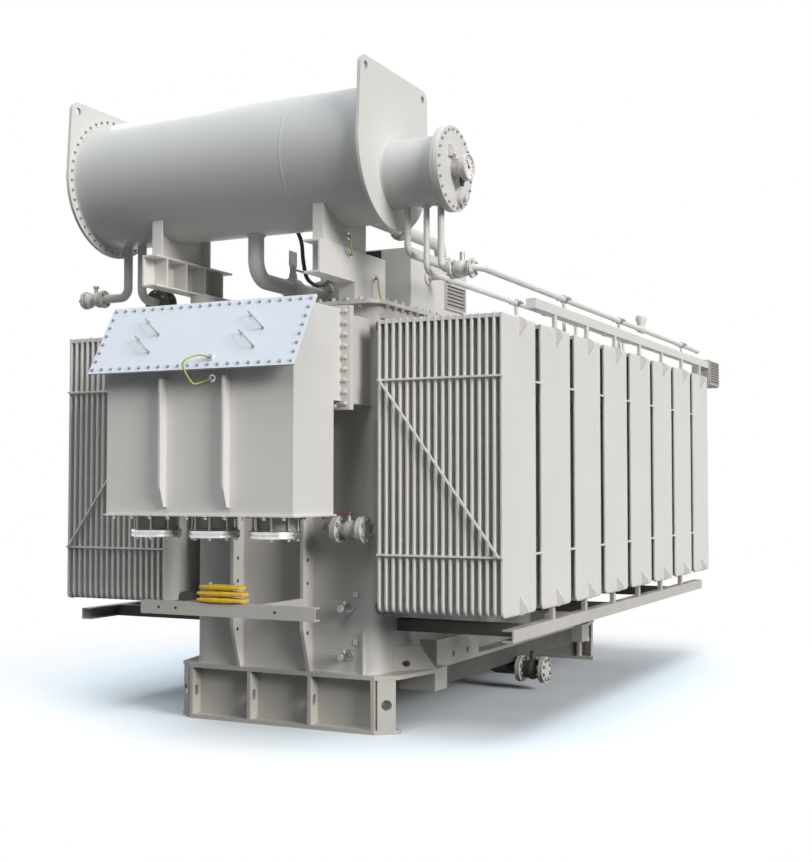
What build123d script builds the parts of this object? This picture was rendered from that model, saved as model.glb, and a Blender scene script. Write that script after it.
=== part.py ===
"""Oil-filled power transformer with radiator banks, a conservator and cable boxes.

Millimetres, Z up, ground at Z = 0. -X is the front, where the cable box stands,
and the right-hand radiator bank, seen from the front, faces -Y.
"""

import os
from math import degrees

from build123d import *

os.makedirs("parts", exist_ok=True)

# Base frame
base_front = -2079.0
base_length = 3880.0
base_margin = 118.0
base_height = 343.0
base_corner_x = 95.0
base_corner_y = 118.0
plate = 25.0
foot_depth = 130.0
foot_web_inset = 85.0
foot_rib_count = 4
foot_slot_length = 64.0
foot_slot_width = 34.0
side_beam_height = 118.0
side_beam_width = 110.0
side_beam_inset = 18.0
haul_plate = 20.0
haul_hole = 62.0
jack_inset = 448.0
jack_length = 177.0
jack_reach = 70.0
jack_height = 113.0
jack_pad_width = 245.0
gusset_height = 150.0
gusset_run = 214.0
gusset_head = 68.0
gusset_eye_reach = 60.0
lash_length = 672.0
lash_height = 154.0
lash_eyes = (259.0, 484.0)
eye_radius = 20.0
eye_height = 42.0
eye_sides = 12

# Tank
tank_wall_inset = 45.0
tank_width = 1320.0
tank_height = 2217.0
tank_corner = 85.0
cover_overhang_x = 55.0
cover_overhang_y = 30.0
cover_thickness = 24.0
end_rib_spread = 503.0
end_rib_shift = 50.0
end_rib_depth = 110.0
end_rib_width = 24.0
end_rib_height = 900.0
end_rib_toe = 28.0
end_rib_shoulder = 252.0

# Cable boxes
neck_length = 374.0
neck_inset = 45.0
neck_height = 520.0
neck_drop = 95.0
neck_flange = 22.0
neck_flange_rim = 72.0
neck_flange_rim_rear = 40.0
neck_flange_drop = 45.0
neck_flange_rise = 35.0
box_overlap = 12.0
box_depth = 517.0
box_step = 82.0
box_step_lift = 5.0
box_clearance = 963.0
box_rise = 15.0
box_slope_depth = 133.0
box_slope_height = 224.0
box_floor = 10.0
box_floor_lip = 14.0
box_rib_spread = 424.0
box_rib_depth = 60.0
box_rib_width = 14.0
box_rib_lift = 40.0
box_rib_toe = 24.0
box_rib_shoulder = 150.0
box_rib_head = 60.0
box_rib_lid_gap = 20.0
lid_overlap_side = 63.0
lid_thickness = 12.0
lid_overlap_bottom = 181.0
lid_overlap_top = 29.0
gland_pitch = 407.0
gland_shift = 27.0
gland_radius = 145.0
gland_neck_radius = 112.0
gland_length = 124.0
gland_flange = 44.0
gland_centre_back = 217.0

# Radiator banks
radiator_count = 8
radiator_pitch = 620.0
panel_count = 18
panel_pitch = 45.0
panel_width = 520.0
panel_thickness = 20.0
bank_front = -2224.0
bank_reach = 879.5
panel_bottom = 731.0
panel_drop = 124.0
top_bar_height = 28.0
header_height = 36.0
header_width = 110.0
lug_thickness = 14.0
lug_proud = 45.0
lug_height = 110.0
lug_nose = 35.0
lug_slope = 25.0
tie_bar = 12.0
tie_low = 1068.0
tie_high_drop = 356.0
brace_inset = 40.0
collector_radius = 45.0
collector_neck_inset = 300.0
collector_neck = 70.0
seat_gap = 0.3
rail_height = 72.0
rail_width = 70.0
rail_drop = 76.0
rail_plate = 10.0
rail_front = -2072.0
rail_length = 4432.0
tab_width = 46.0
tab_depth = 28.0
arm_width = 90.0
tray_height = 60.0
tray_width = 62.0
tray_front = -1700.0
tray_gap = 84.0
tray_foot = 40.0

# Conservator
conservator_x = -2143.0
conservator_rise = 839.0
conservator_radius = 404.0
conservator_wall = 8.0
conservator_right_reach = 151.5
conservator_left_reach = 575.5
end_plate = 20.0
end_plate_radius = 457.0
end_plate_rise = 477.0
end_plate_ear = 430.0
ear_round = 60.0
ear_hole = 24.0
ear_hole_inset = 58.0
chamber_radius = 199.0
chamber_wall = 8.0
chamber_length = 355.5
chamber_drop = 133.0
chamber_flange_radius = 246.0
chamber_flange = 28.0
gauge_radius = 78.0
gauge_depth = 93.0
gauge_neck_radius = 58.0
gauge_neck = 56.0
saddle_inset = 351.5
saddle_left_inset = 540.5
saddle_width = 525.0
saddle_plate = 14.0
saddle_edge = 72.0
beam_front = -2480.0
beam_length = 825.0
beam_width = 110.0
beam_plate = 12.0
beam_lift = 111.0
beam_height = 195.0
beam_rib_pitch = 200.0
beam_foot_length = 403.0

# Pipes and fittings
relay_pipe_radius = 50.0
relay_bend = 125.0
relay_pipe_y = 135.0
relay_rise = 161.0
relay_front = -1345.0
relay_length = 330.0
relay_body_radius = 78.0
relay_flange_radius = 105.0
relay_flange = 20.0
breather_radius = 29.0
breather_rise = 113.0
breather_inset = 111.5
breather_pitch = 112.0
breather_end_inset = 9.5
breather_bend = 64.0
breather_step = 20.0
breather_run = 200.0
breather_valve_end = 143.0
breather_valve_length = 150.0
drop_radius = 20.0
oil_valve_start = 63.0
oil_valve_length = 122.0
oil_pipe_inset = 60.0
oil_pipe_out = 248.0
oil_pipe_rise = 124.0
oil_pipe_end = 2955.0
oil_stands = (2, 4, 7)
conduit_inset = 152.0
conduit_rise = 121.0
conduit_end = 1900.0
conduit_radius = 18.0
conduit_stands = (2, 4, 6)
stand_width = 40.0
stand_plate = 12.0
vent_pipe_inset = 275.0
vent_pipe_rise = 238.0
vent_end_x = -1300.0
tap_pipe_radius = 31.0
tap_pipe_inset = 251.5
tap_pipe_rise = 516.0
tap_end_x = -920.0
valve_flange_radius = 58.0
valve_flange = 18.0
turret_front = -1544.0
turret_length = 880.0
turret_inset = 20.0
turret_width = 560.0
turret_height = 400.0
louvre_front = 2690.0
louvre_length = 360.0
louvre_depth = 150.0
louvre_drop = 68.0
louvre_height = 232.0

# End wall fittings
drain_x = 116.0
drain_inset = 130.0
drain_z = 1205.0
drain_radius = 34.0
drain_flange_radius = 82.0
drain_flange = 20.0
drain_length = 150.0
drain_wall_gap = 80.0
drain_body_radius = 46.0
lever_length = 150.0
lever_width = 22.0
lever_plate = 6.0
lever_clearance = 10.0
lever_gap = 6.0
stem_radius = 9.0
stem_boss_radius = 18.0
sampler_inset = 189.0
sampler_heights = (741.0, 455.0)
sampler_radius = 17.0
sampler_length = 120.0
sampler_flange_radius = 34.0
sampler_flange = 14.0
sampler_stem_radius = 10.0
sampler_stem = 41.0
sampler_stem_reach = 72.0
cable_bar_z = 714.0
cable_bar_height = 76.0
cable_bar_depth = 60.0
cable_bar_plate = 8.0
cable_bar_stand = 629.0
cable_bar_width = 1193.0
cleat_shift = 35.0
cleat_width = 310.0
cleat_height = 110.0
cleat_depth = 90.0
bottom_valve_x = -64.0
bottom_valve_z = 150.0
bottom_valve_gap = 10.0
bottom_valve_length = 210.0
bottom_valve_radius = 94.0
bottom_pipe_radius = 44.0
bottom_pipe_clearance = 90.0

# Places that follow from the sizes above
base_width = tank_width + 2 * base_margin
base_rear = base_front + base_length
base_mid = base_front + base_length / 2
deck_bottom = base_height - plate
tank_front = base_front + tank_wall_inset
tank_rear = base_rear - tank_wall_inset
tank_length = tank_rear - tank_front
tank_half = tank_width / 2
tank_top = base_height + tank_height
cover_top = tank_top + cover_thickness
tank_mid_plane = Plane.YZ.offset(base_mid)
neck_width = tank_width - 2 * neck_inset
neck_top = tank_top - neck_drop
neck_bottom = neck_top - neck_height
box_width = neck_width + 2 * box_overlap
box_top = neck_top + box_rise
box_bottom = base_height + box_clearance
box_step_height = neck_bottom + box_step_lift
lid_width = box_width + 2 * lid_overlap_side
flange_front = tank_front - neck_length - neck_flange
box_back = flange_front
box_front = box_back - box_depth
radiator_mids = [
    bank_front + panel_width / 2 + radiator_pitch * i for i in range(radiator_count)
]
bank_face = tank_half + bank_reach
panel_top = tank_top - panel_drop
tie_high = panel_top - tie_high_drop
bank_inner = bank_face - panel_pitch * (panel_count - 1) - panel_thickness
collector_y = bank_inner - seat_gap - collector_radius
collector_top_z = panel_top - header_height / 2
collector_bottom_z = panel_bottom + header_height / 2
rail_top = panel_bottom - rail_drop
tray_bottom = panel_top + tray_gap
louvre_bottom = panel_top - louvre_drop
conservator_z = cover_top + conservator_rise
conservator_right = -tank_half - conservator_right_reach
conservator_left = tank_half + conservator_left_reach
end_plate_top = conservator_z + end_plate_rise
saddle_right_y = conservator_right + saddle_inset
saddle_left_y = conservator_left - saddle_left_inset
beam_bottom = cover_top + beam_lift
beam_top = beam_bottom + beam_height
chamber_z = conservator_z - chamber_drop
chamber_end = conservator_right - end_plate - chamber_length
relay_z = cover_top + relay_rise
breather_z = cover_top + breather_rise
breather_outer_y = conservator_left - breather_inset
breather_inner_y = breather_outer_y - breather_pitch
breather_end_y = bank_face - breather_end_inset
oil_pipe_y = chamber_end + oil_pipe_inset
oil_pipe_z = cover_top + oil_pipe_rise
conduit_y = chamber_end + conduit_inset
conduit_z = cover_top + conduit_rise
vent_pipe_y = chamber_end + vent_pipe_inset
vent_pipe_z = cover_top + vent_pipe_rise
tap_pipe_y = conservator_right + tap_pipe_inset
tap_pipe_z = cover_top + tap_pipe_rise
turret_face = tank_half - turret_inset
drain_y = drain_inset - tank_half
sampler_y = sampler_inset - tank_half


def export(builder, name):
    """Label a finished piece and write its STEP file."""
    builder.part.label = name
    export_step(builder.part, f"parts/{name}.step")


def bent_pipe(points, radius, bend):
    """A round bar along straight runs joined by arcs of one bend radius."""
    with BuildPart() as pipe:
        with BuildLine(mode=Mode.PRIVATE) as path:
            FilletPolyline(*points, radius=bend)
        for run in path.edges():
            with BuildSketch(Plane(origin=run @ 0, z_dir=run % 0)):
                Circle(radius)
            if run.geom_type == GeomType.LINE:
                extrude(amount=run.length)
            else:
                turn = (run % 0).cross(run % 1)
                revolve(axis=Axis(run.arc_center, turn), revolution_arc=degrees(run.length / bend))
    return pipe.part


def elbow_pipe(points, radius):
    """A round bar along straight runs that meet in mitred elbows."""
    corners = [Vector(*point) for point in points]
    ways = [(end - start).normalized() for start, end in zip(corners, corners[1:])]
    runs = []
    for i, way in enumerate(ways):
        start = corners[i] - way * radius * 2 * (i > 0)
        end = corners[i + 1] + way * radius * 2 * (i + 1 < len(ways))
        with BuildPart() as run:
            add(disc(start, way, radius, (end - start).length))
            if i > 0:
                split(bisect_by=Plane(origin=corners[i], z_dir=ways[i - 1] + way), keep=Keep.TOP)
            if i + 1 < len(ways):
                split(bisect_by=Plane(origin=corners[i + 1], z_dir=way + ways[i + 1]), keep=Keep.BOTTOM)
        runs.append(run.part)
    with BuildPart() as pipe:
        add(runs)
    return pipe.part


def disc(centre, axis, radius, thickness):
    """A flat disc that starts at centre and grows along axis."""
    with BuildPart() as flange:
        with BuildSketch(Plane(origin=centre, z_dir=axis)):
            Circle(radius)
        extrude(amount=thickness)
    return flange.part


# Base deck: the top flange of the frame, corners cut back, with a tongue over each jacking pad
half_w = base_width / 2
jack_front = base_front + jack_inset
jack_rear = jack_front + jack_length
deck_quarter = [
    (jack_rear, half_w),
    (jack_rear, half_w + jack_reach),
    (jack_front, half_w + jack_reach),
    (base_front + base_corner_x, half_w),
    (base_front, half_w - base_corner_y),
]
deck_front = deck_quarter + [(x, -y) for x, y in reversed(deck_quarter)]
deck_rear = [(2 * base_mid - x, y) for x, y in reversed(deck_front)]
with BuildPart() as base_deck:
    with BuildSketch(Plane.XY.offset(deck_bottom)):
        with BuildLine():
            Polyline(*deck_front, *deck_rear, close=True)
        make_face()
    extrude(amount=plate)
export(base_deck, "base_deck")

# Front foot: sole plate, recessed web and ribs that carry the deck
foot_straight = base_width - 2 * base_corner_y
rib_pitch = (foot_straight - plate) / (foot_rib_count - 1)
with BuildPart() as base_foot_front:
    with BuildSketch(Plane.XY):
        with BuildLine():
            Polyline(
                (base_front, foot_straight / 2),
                (base_front + base_corner_x, base_width / 2),
                (base_front + foot_depth, base_width / 2),
                (base_front + foot_depth, -base_width / 2),
                (base_front + base_corner_x, -base_width / 2),
                (base_front, -foot_straight / 2),
                close=True,
            )
        make_face()
    extrude(amount=plate)
    web_height = deck_bottom - plate
    with Locations((base_front + foot_web_inset + plate / 2, 0, plate + web_height / 2)):
        Box(plate, foot_straight, web_height)
    with Locations((base_front + foot_depth / 2, 0, plate + web_height / 2)):
        with GridLocations(0, rib_pitch, 1, foot_rib_count):
            Box(foot_depth, plate, web_height)
    with BuildSketch(Plane.XZ.offset(-base_width / 2)):
        with Locations((base_front + foot_web_inset / 2, plate + web_height / 2)):
            slot = Rectangle(foot_slot_width, foot_slot_length)
            chamfer(slot.vertices(), foot_slot_width / 4, foot_slot_width / 3)
    extrude(amount=base_width, mode=Mode.SUBTRACT)
with BuildPart() as base_feet:
    add(base_foot_front.part)
    mirror(base_foot_front.part, about=tank_mid_plane)
export(base_feet, "base_feet")

# Hauling plates: one slanting plate with an eye at each corner of the feet
corner_run = Vector(base_corner_x, -base_corner_y, 0)
with BuildPart() as hauling_plate:
    corner = Plane(
        origin=(
            base_front + base_corner_x / 2,
            -foot_straight / 2 - base_corner_y / 2,
            plate + web_height / 2,
        ),
        x_dir=corner_run,
        z_dir=Vector(0, 0, 1).cross(corner_run),
    )
    with BuildSketch(corner):
        Rectangle(corner_run.length - 2 * haul_plate, web_height)
        Circle(haul_hole / 2, mode=Mode.SUBTRACT)
    extrude(amount=haul_plate)
with BuildPart() as hauling_plates:
    add(hauling_plate.part)
    mirror(hauling_plate.part, about=Plane.XZ)
    mirror(hauling_plates.part, about=tank_mid_plane)
export(hauling_plates, "hauling_plates")

# Side beams between the jacking pads, under the deck
side_beam_length = base_length - 2 * (jack_inset + jack_length)
side_beam_spread = base_width - 2 * side_beam_inset - side_beam_width
with BuildPart() as base_side_beams:
    with Locations((base_mid, 0, deck_bottom - side_beam_height / 2)):
        with GridLocations(0, side_beam_spread, 1, 2):
            Box(side_beam_length, side_beam_width, side_beam_height)
export(base_side_beams, "base_side_beams")

# Jacking brackets: a pad under the deck's tongue, a slanting gusset and a lashing plate with eyes
jack_outer = half_w + jack_reach
gusset_front = jack_front - gusset_run
with BuildPart() as jacking_pad:
    with Locations(
        (jack_front + jack_length / 2, jack_pad_width / 2 - jack_outer, deck_bottom - jack_height / 2)
    ):
        Box(jack_length, jack_pad_width, jack_height)
with BuildPart() as jacking_gusset:
    with BuildSketch(Plane.XY.offset(base_height)):
        with BuildLine():
            Polyline(
                (gusset_front, -tank_half),
                (gusset_front + gusset_run, -jack_outer),
                (gusset_front + gusset_run + haul_plate, -jack_outer),
                (gusset_front + haul_plate, -tank_half),
                close=True,
            )
        make_face()
    extrude(amount=gusset_height)
    with BuildSketch(Plane.YZ.offset(gusset_front)):
        with BuildLine():
            Polyline(
                (-tank_half, base_height),
                (-jack_outer, base_height),
                (-jack_outer + gusset_head, base_height + gusset_height),
                (-tank_half, base_height + gusset_height),
                close=True,
            )
        make_face()
        with Locations((-tank_half - gusset_eye_reach, base_height + eye_height)):
            RegularPolygon(eye_radius, eye_sides, mode=Mode.SUBTRACT)
    extrude(amount=gusset_run + haul_plate, mode=Mode.INTERSECT)
with BuildPart() as lashing_plate:
    lash_mid = jack_rear + lash_length / 2
    with BuildSketch(Plane.XZ.offset(half_w)):
        with Locations((lash_mid, base_height + lash_height / 2)):
            Rectangle(lash_length, lash_height)
        with Locations(*[(jack_rear + reach, base_height + eye_height) for reach in lash_eyes]):
            RegularPolygon(eye_radius, eye_sides, mode=Mode.SUBTRACT)
    extrude(amount=-haul_plate)
    with Locations((lash_mid, -tank_half - base_margin / 2, base_height + lash_height / 2)):
        with GridLocations(lash_length - haul_plate, 0, 2, 1):
            Box(haul_plate, base_margin, lash_height)
with BuildPart() as jacking_brackets:
    add(jacking_pad.part)
    add(jacking_gusset.part)
    add(lashing_plate.part)
    mirror(jacking_brackets.part, about=Plane.XZ)
    mirror(jacking_brackets.part, about=tank_mid_plane)
export(jacking_brackets, "jacking_brackets")

# Tapered ribs, two on each end wall of the tank
with BuildPart() as end_rib:
    with BuildSketch(Plane.XZ):
        with BuildLine():
            Polyline(
                (tank_front, base_height),
                (tank_front - end_rib_toe, base_height),
                (tank_front - end_rib_depth, base_height + end_rib_shoulder),
                (tank_front - end_rib_depth, base_height + end_rib_height),
                (tank_front, base_height + end_rib_height + end_rib_depth),
                close=True,
            )
        make_face()
    extrude(amount=end_rib_width / 2, both=True)
with BuildPart() as tank_ribs:
    with Locations((0, end_rib_shift, 0)):
        with GridLocations(0, end_rib_spread, 1, 2):
            add(end_rib.part)
    mirror(tank_ribs.part, about=tank_mid_plane)
export(tank_ribs, "tank_ribs")

# Tank with round vertical corners, and its cover
with BuildPart() as tank_body:
    with BuildSketch(Plane.XY.offset(base_height)):
        with Locations((base_mid, 0)):
            RectangleRounded(tank_length, tank_width, tank_corner)
    extrude(amount=tank_height)
export(tank_body, "tank_body")
with BuildPart() as tank_cover:
    with BuildSketch(Plane.XY.offset(tank_top)):
        with Locations((base_mid, 0)):
            RectangleRounded(
                tank_length + 2 * cover_overhang_x,
                tank_width + 2 * cover_overhang_y,
                tank_corner,
            )
    extrude(amount=cover_thickness)
export(tank_cover, "tank_cover")

# Cable box: a deep box whose upper part reaches back to the neck flange
rib_top = box_top - box_slope_height
with BuildPart() as box_rib:
    with BuildSketch(Plane.XZ):
        with BuildLine():
            Polyline(
                (box_front, box_bottom + box_rib_lift),
                (box_front - box_rib_toe, box_bottom + box_rib_lift),
                (box_front - box_rib_depth, box_bottom + box_rib_shoulder),
                (box_front - box_rib_depth, rib_top - lid_overlap_bottom - box_rib_lid_gap),
                (box_front, rib_top - box_rib_head),
                close=True,
            )
        make_face()
    extrude(amount=box_rib_width / 2, both=True)
with BuildPart() as cable_box_front:
    with BuildSketch(Plane.XZ):
        with BuildLine():
            Polyline(
                (box_front, box_bottom),
                (box_back - box_step, box_bottom),
                (box_back - box_step, box_step_height),
                (box_back, box_step_height),
                (box_back, box_top),
                (box_front + box_slope_depth, box_top),
                (box_front, box_top - box_slope_height),
                close=True,
            )
        make_face()
    extrude(amount=box_width / 2, both=True)
    floor_length = box_depth - box_step
    with Locations((box_front + floor_length / 2, 0, box_bottom - box_floor / 2)):
        Box(floor_length + 2 * box_floor_lip, box_width + 2 * box_floor_lip, box_floor)
    with GridLocations(0, box_rib_spread, 1, 2):
        add(box_rib.part)
export(cable_box_front, "cable_box_front")

# Sloping lid, bolted over the slanted mouth and standing past it all round
slope_run = Vector(box_slope_depth, 0, box_slope_height)
slope_dir = slope_run.normalized()
lid_length = slope_run.length + lid_overlap_bottom + lid_overlap_top
lid_mid = (
    Vector(box_front, 0, box_top - box_slope_height)
    + slope_dir * (lid_length / 2 - lid_overlap_bottom)
)
lid_plane = Plane(origin=lid_mid, x_dir=slope_dir, z_dir=slope_dir.cross(Vector(0, 1, 0)))
with BuildPart() as cable_box_front_lid:
    with BuildSketch(lid_plane):
        Rectangle(lid_length, lid_width)
    extrude(amount=lid_thickness)
export(cable_box_front_lid, "cable_box_front_lid")

# Neck between box and tank, with a pair of bolted flanges
flange_height = neck_height + neck_flange_drop + neck_flange_rise
flange_mid_z = (neck_top + neck_flange_rise + neck_bottom - neck_flange_drop) / 2


def neck_solid(rim):
    """Front neck whose flanges stand out by rim on both sides."""
    with BuildPart() as neck:
        with Locations((tank_front - neck_length / 2, 0, (neck_top + neck_bottom) / 2)):
            Box(neck_length, neck_width, neck_height)
        with Locations((flange_front + neck_flange, 0, flange_mid_z)):
            Box(neck_flange * 2, neck_width + 2 * rim, flange_height)
    return neck.part


with BuildPart() as cable_neck_front:
    add(neck_solid(neck_flange_rim))
export(cable_neck_front, "cable_neck_front")
with BuildPart() as cable_neck_rear:
    mirror(neck_solid(neck_flange_rim_rear), about=tank_mid_plane)
export(cable_neck_rear, "cable_neck_rear")

# Cable glands of both ends: a short neck and a blanked flange for each phase
gland_x = box_front + gland_centre_back
gland_top = box_bottom - box_floor
with BuildPart() as cable_glands:
    with Locations((gland_x, gland_shift, gland_top - gland_length / 2)):
        with GridLocations(0, gland_pitch, 1, 3):
            Cylinder(gland_neck_radius, gland_length)
    with Locations((gland_x, gland_shift, gland_top - gland_length + gland_flange / 2)):
        with GridLocations(0, gland_pitch, 1, 3):
            Cylinder(gland_radius, gland_flange)
    mirror(cable_glands.part, about=tank_mid_plane)
export(cable_glands, "cable_glands")

# The far end has the same cable box
for name, piece in (
    ("cable_box_rear", cable_box_front),
    ("cable_box_rear_lid", cable_box_front_lid),
):
    with BuildPart() as rear_piece:
        mirror(piece.part, about=tank_mid_plane)
    export(rear_piece, name)

# Radiator: thin panels hung from a top bar across the bank, over a narrower bottom header
panel_height = panel_top - panel_bottom
outer_panel_y = -bank_face + panel_thickness / 2
header_outer = bank_face - panel_thickness - seat_gap
inner_bottom = panel_bottom + header_height + seat_gap
with BuildPart() as radiator_form:
    with Locations((0, outer_panel_y, panel_bottom + panel_height / 2)):
        Box(panel_width, panel_thickness, panel_height)
    with Locations(
        *[
            (0, outer_panel_y + panel_pitch * i, (inner_bottom + panel_top) / 2)
            for i in range(1, panel_count)
        ]
    ):
        Box(panel_width, panel_thickness, panel_top - inner_bottom)
    with Locations((0, -(bank_inner + bank_face) / 2, panel_top - top_bar_height / 2)):
        Box(panel_width, bank_face - bank_inner, top_bar_height)
    with Locations((0, -(bank_inner + header_outer) / 2, panel_bottom + header_height / 2)):
        Box(header_width, header_outer - bank_inner, header_height)
    with BuildSketch(Plane.YZ):
        for tip, way in ((panel_top, -1), (panel_bottom, 1)):
            with BuildLine():
                Polyline(
                    (-bank_face, tip),
                    (-bank_face - lug_proud, tip + way * lug_slope),
                    (-bank_face - lug_proud, tip + way * (lug_slope + lug_nose)),
                    (-bank_face, tip + way * lug_height),
                    close=True,
                )
            make_face()
    extrude(amount=lug_thickness / 2, both=True)

half_bank = radiator_count // 2
for place, mids in (("front", radiator_mids[:half_bank]), ("rear", radiator_mids[half_bank:])):
    with BuildPart() as radiators_right:
        with Locations(*[(mid, 0, 0) for mid in mids]):
            add(radiator_form.part)
    export(radiators_right, f"radiators_right_{place}")
    with BuildPart() as radiators_left:
        mirror(radiators_right.part, about=Plane.XZ)
    export(radiators_left, f"radiators_left_{place}")

# Tie bars across the front edges of the fins, and spacers between radiators
fin_span = bank_face - bank_inner
tie_mid_y = -(bank_face + bank_inner) / 2
with BuildPart() as fin_ties_right:
    for level in (tie_low, tie_high):
        with Locations((bank_front - tie_bar / 2, tie_mid_y, level)):
            Box(tie_bar, fin_span, tie_bar)
        for mid in radiator_mids[:-1]:
            gap_mid = mid + radiator_pitch / 2
            with Locations((gap_mid, outer_panel_y, level)):
                Box(radiator_pitch - panel_width, panel_thickness, tie_bar)
with BuildPart() as fin_ties:
    add(fin_ties_right.part)
    mirror(fin_ties_right.part, about=Plane.XZ)
export(fin_ties, "fin_ties")

# Diagonal brace over the front ties of each bank
diagonal = Vector(0, fin_span - brace_inset, tie_high - tie_low)
brace_plane = Plane(
    origin=(bank_front - tie_bar, tie_mid_y, (tie_low + tie_high) / 2),
    x_dir=diagonal,
    z_dir=(-1, 0, 0),
)
with BuildPart() as brace_right:
    with BuildSketch(brace_plane):
        Rectangle(diagonal.length, tie_bar)
    extrude(amount=tie_bar)
with BuildPart() as fin_braces:
    add(brace_right.part)
    mirror(brace_right.part, about=Plane.XZ)
export(fin_braces, "fin_braces")

# Collector pipes between tank and radiators, with necks to the tank side
collector_start = radiator_mids[0] - header_width
collector_end = radiator_mids[-1] + header_width
neck_xs = (
    tank_front + collector_neck_inset,
    base_mid,
    tank_rear - collector_neck_inset,
)
with BuildPart() as collectors_right:
    for level in (collector_bottom_z, collector_top_z):
        add(
            disc(
                (collector_start, -collector_y, level),
                (1, 0, 0),
                collector_radius,
                collector_end - collector_start,
            )
        )
        for neck_x in neck_xs:
            with Locations((neck_x, -(tank_half + collector_y) / 2, level)):
                Box(collector_neck, collector_y - tank_half, collector_neck)
with BuildPart() as collector_pipes:
    add(collectors_right.part)
    mirror(collectors_right.part, about=Plane.XZ)
export(collector_pipes, "collector_pipes")

# Channel rail under the outer panels, on arms from the tank side, with a tab to each radiator
rail_mid = rail_front + rail_length / 2
rail_y = -bank_face + rail_width / 2
arm_reach = bank_face - rail_width - tank_half
with BuildPart() as rail_right:
    with Locations((rail_mid, rail_plate / 2 - bank_face, rail_top - rail_height / 2)):
        Box(rail_length, rail_plate, rail_height)
    with Locations(
        (rail_mid, rail_y, rail_top - rail_plate / 2),
        (rail_mid, rail_y, rail_top - rail_height + rail_plate / 2),
    ):
        Box(rail_length, rail_width, rail_plate)
    for mid in radiator_mids[1:-1]:
        with Locations((mid, rail_y, rail_top + rail_drop / 2)):
            Box(tab_width, tab_depth, rail_drop)
with BuildPart() as radiator_rails:
    add(rail_right.part)
    mirror(rail_right.part, about=Plane.XZ)
export(radiator_rails, "radiator_rails")
with BuildPart() as rail_arms:
    for arm_x in neck_xs:
        with Locations((arm_x, 0, rail_top - rail_height / 2)):
            with GridLocations(0, tank_width + arm_reach, 1, 2):
                Box(arm_width, arm_reach, rail_height)
export(rail_arms, "rail_arms")

# Cable tray along the top of the right bank, on a foot over each radiator
tray_length = louvre_front - tray_front
tray_y = -bank_face + tray_width / 2
with BuildPart() as cable_tray_right:
    with Locations((tray_front + tray_length / 2, tray_y, tray_bottom + tray_height / 2)):
        Box(tray_length, tray_width, tray_height)
    for mid in radiator_mids[1:]:
        with Locations((mid, -bank_face + panel_thickness / 2, panel_top + tray_gap / 2)):
            Box(tray_foot, panel_thickness, tray_gap)
export(cable_tray_right, "cable_tray_right")

with BuildPart() as louvred_box:
    with Locations(
        (
            louvre_front + louvre_length / 2,
            -bank_face + louvre_depth / 2,
            louvre_bottom + louvre_height / 2,
        )
    ):
        Box(louvre_length, louvre_depth, louvre_height)
export(louvred_box, "louvred_box")

# Conservator shell: an open tube along Y, closed by two end plates with lifting ears
conservator_length = conservator_left - conservator_right
with BuildPart() as conservator_shell:
    with BuildSketch(Plane.XZ.offset(-conservator_left)):
        with Locations((conservator_x, conservator_z)):
            Circle(conservator_radius)
            Circle(conservator_radius - conservator_wall, mode=Mode.SUBTRACT)
    extrude(amount=conservator_length)
export(conservator_shell, "conservator_shell")


def end_plate_solid(outer_y):
    """Round plate with a square head and two lifting ears, 20 mm towards +Y from outer_y."""
    with BuildPart() as end_cap:
        with BuildSketch(Plane.XZ.offset(-outer_y)):
            with Locations((conservator_x, conservator_z)):
                Circle(end_plate_radius)
            with BuildLine():
                Polyline(
                    (conservator_x - end_plate_radius, conservator_z),
                    (conservator_x - end_plate_ear, end_plate_top),
                    (conservator_x + end_plate_ear, end_plate_top),
                    (conservator_x + end_plate_radius, conservator_z),
                    close=True,
                )
            head = make_face()
            fillet(head.vertices().group_by(Axis.Z)[-1], ear_round)
            hole_x = end_plate_ear - ear_hole_inset
            with Locations(
                (conservator_x - hole_x, end_plate_top - ear_hole_inset),
                (conservator_x + hole_x, end_plate_top - ear_hole_inset),
            ):
                Circle(ear_hole, mode=Mode.SUBTRACT)
        extrude(amount=-end_plate)
    return end_cap.part


with BuildPart() as conservator_plate_right:
    add(end_plate_solid(conservator_right - end_plate))
export(conservator_plate_right, "conservator_plate_right")
with BuildPart() as conservator_plate_left:
    add(end_plate_solid(conservator_left))
export(conservator_plate_left, "conservator_plate_left")

# Tap changer's oil chamber: a smaller tube on the right end plate, its cover and gauge
with BuildPart() as chamber_shell:
    with BuildSketch(Plane.XZ.offset(end_plate - conservator_right)):
        with Locations((conservator_x, chamber_z)):
            Circle(chamber_radius)
            Circle(chamber_radius - chamber_wall, mode=Mode.SUBTRACT)
    extrude(amount=chamber_length)
export(chamber_shell, "chamber_shell")
with BuildPart() as chamber_cover:
    add(disc((conservator_x, chamber_end, chamber_z), (0, -1, 0), chamber_flange_radius, chamber_flange))
export(chamber_cover, "chamber_cover")
gauge_y = chamber_end - chamber_flange
with BuildPart() as oil_gauge:
    add(disc((conservator_x, gauge_y, chamber_z), (0, -1, 0), gauge_neck_radius, gauge_neck))
    add(
        disc(
            (conservator_x, gauge_y - gauge_neck, chamber_z),
            (0, -1, 0),
            gauge_radius,
            gauge_depth - gauge_neck,
        )
    )
export(oil_gauge, "oil_gauge")


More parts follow.
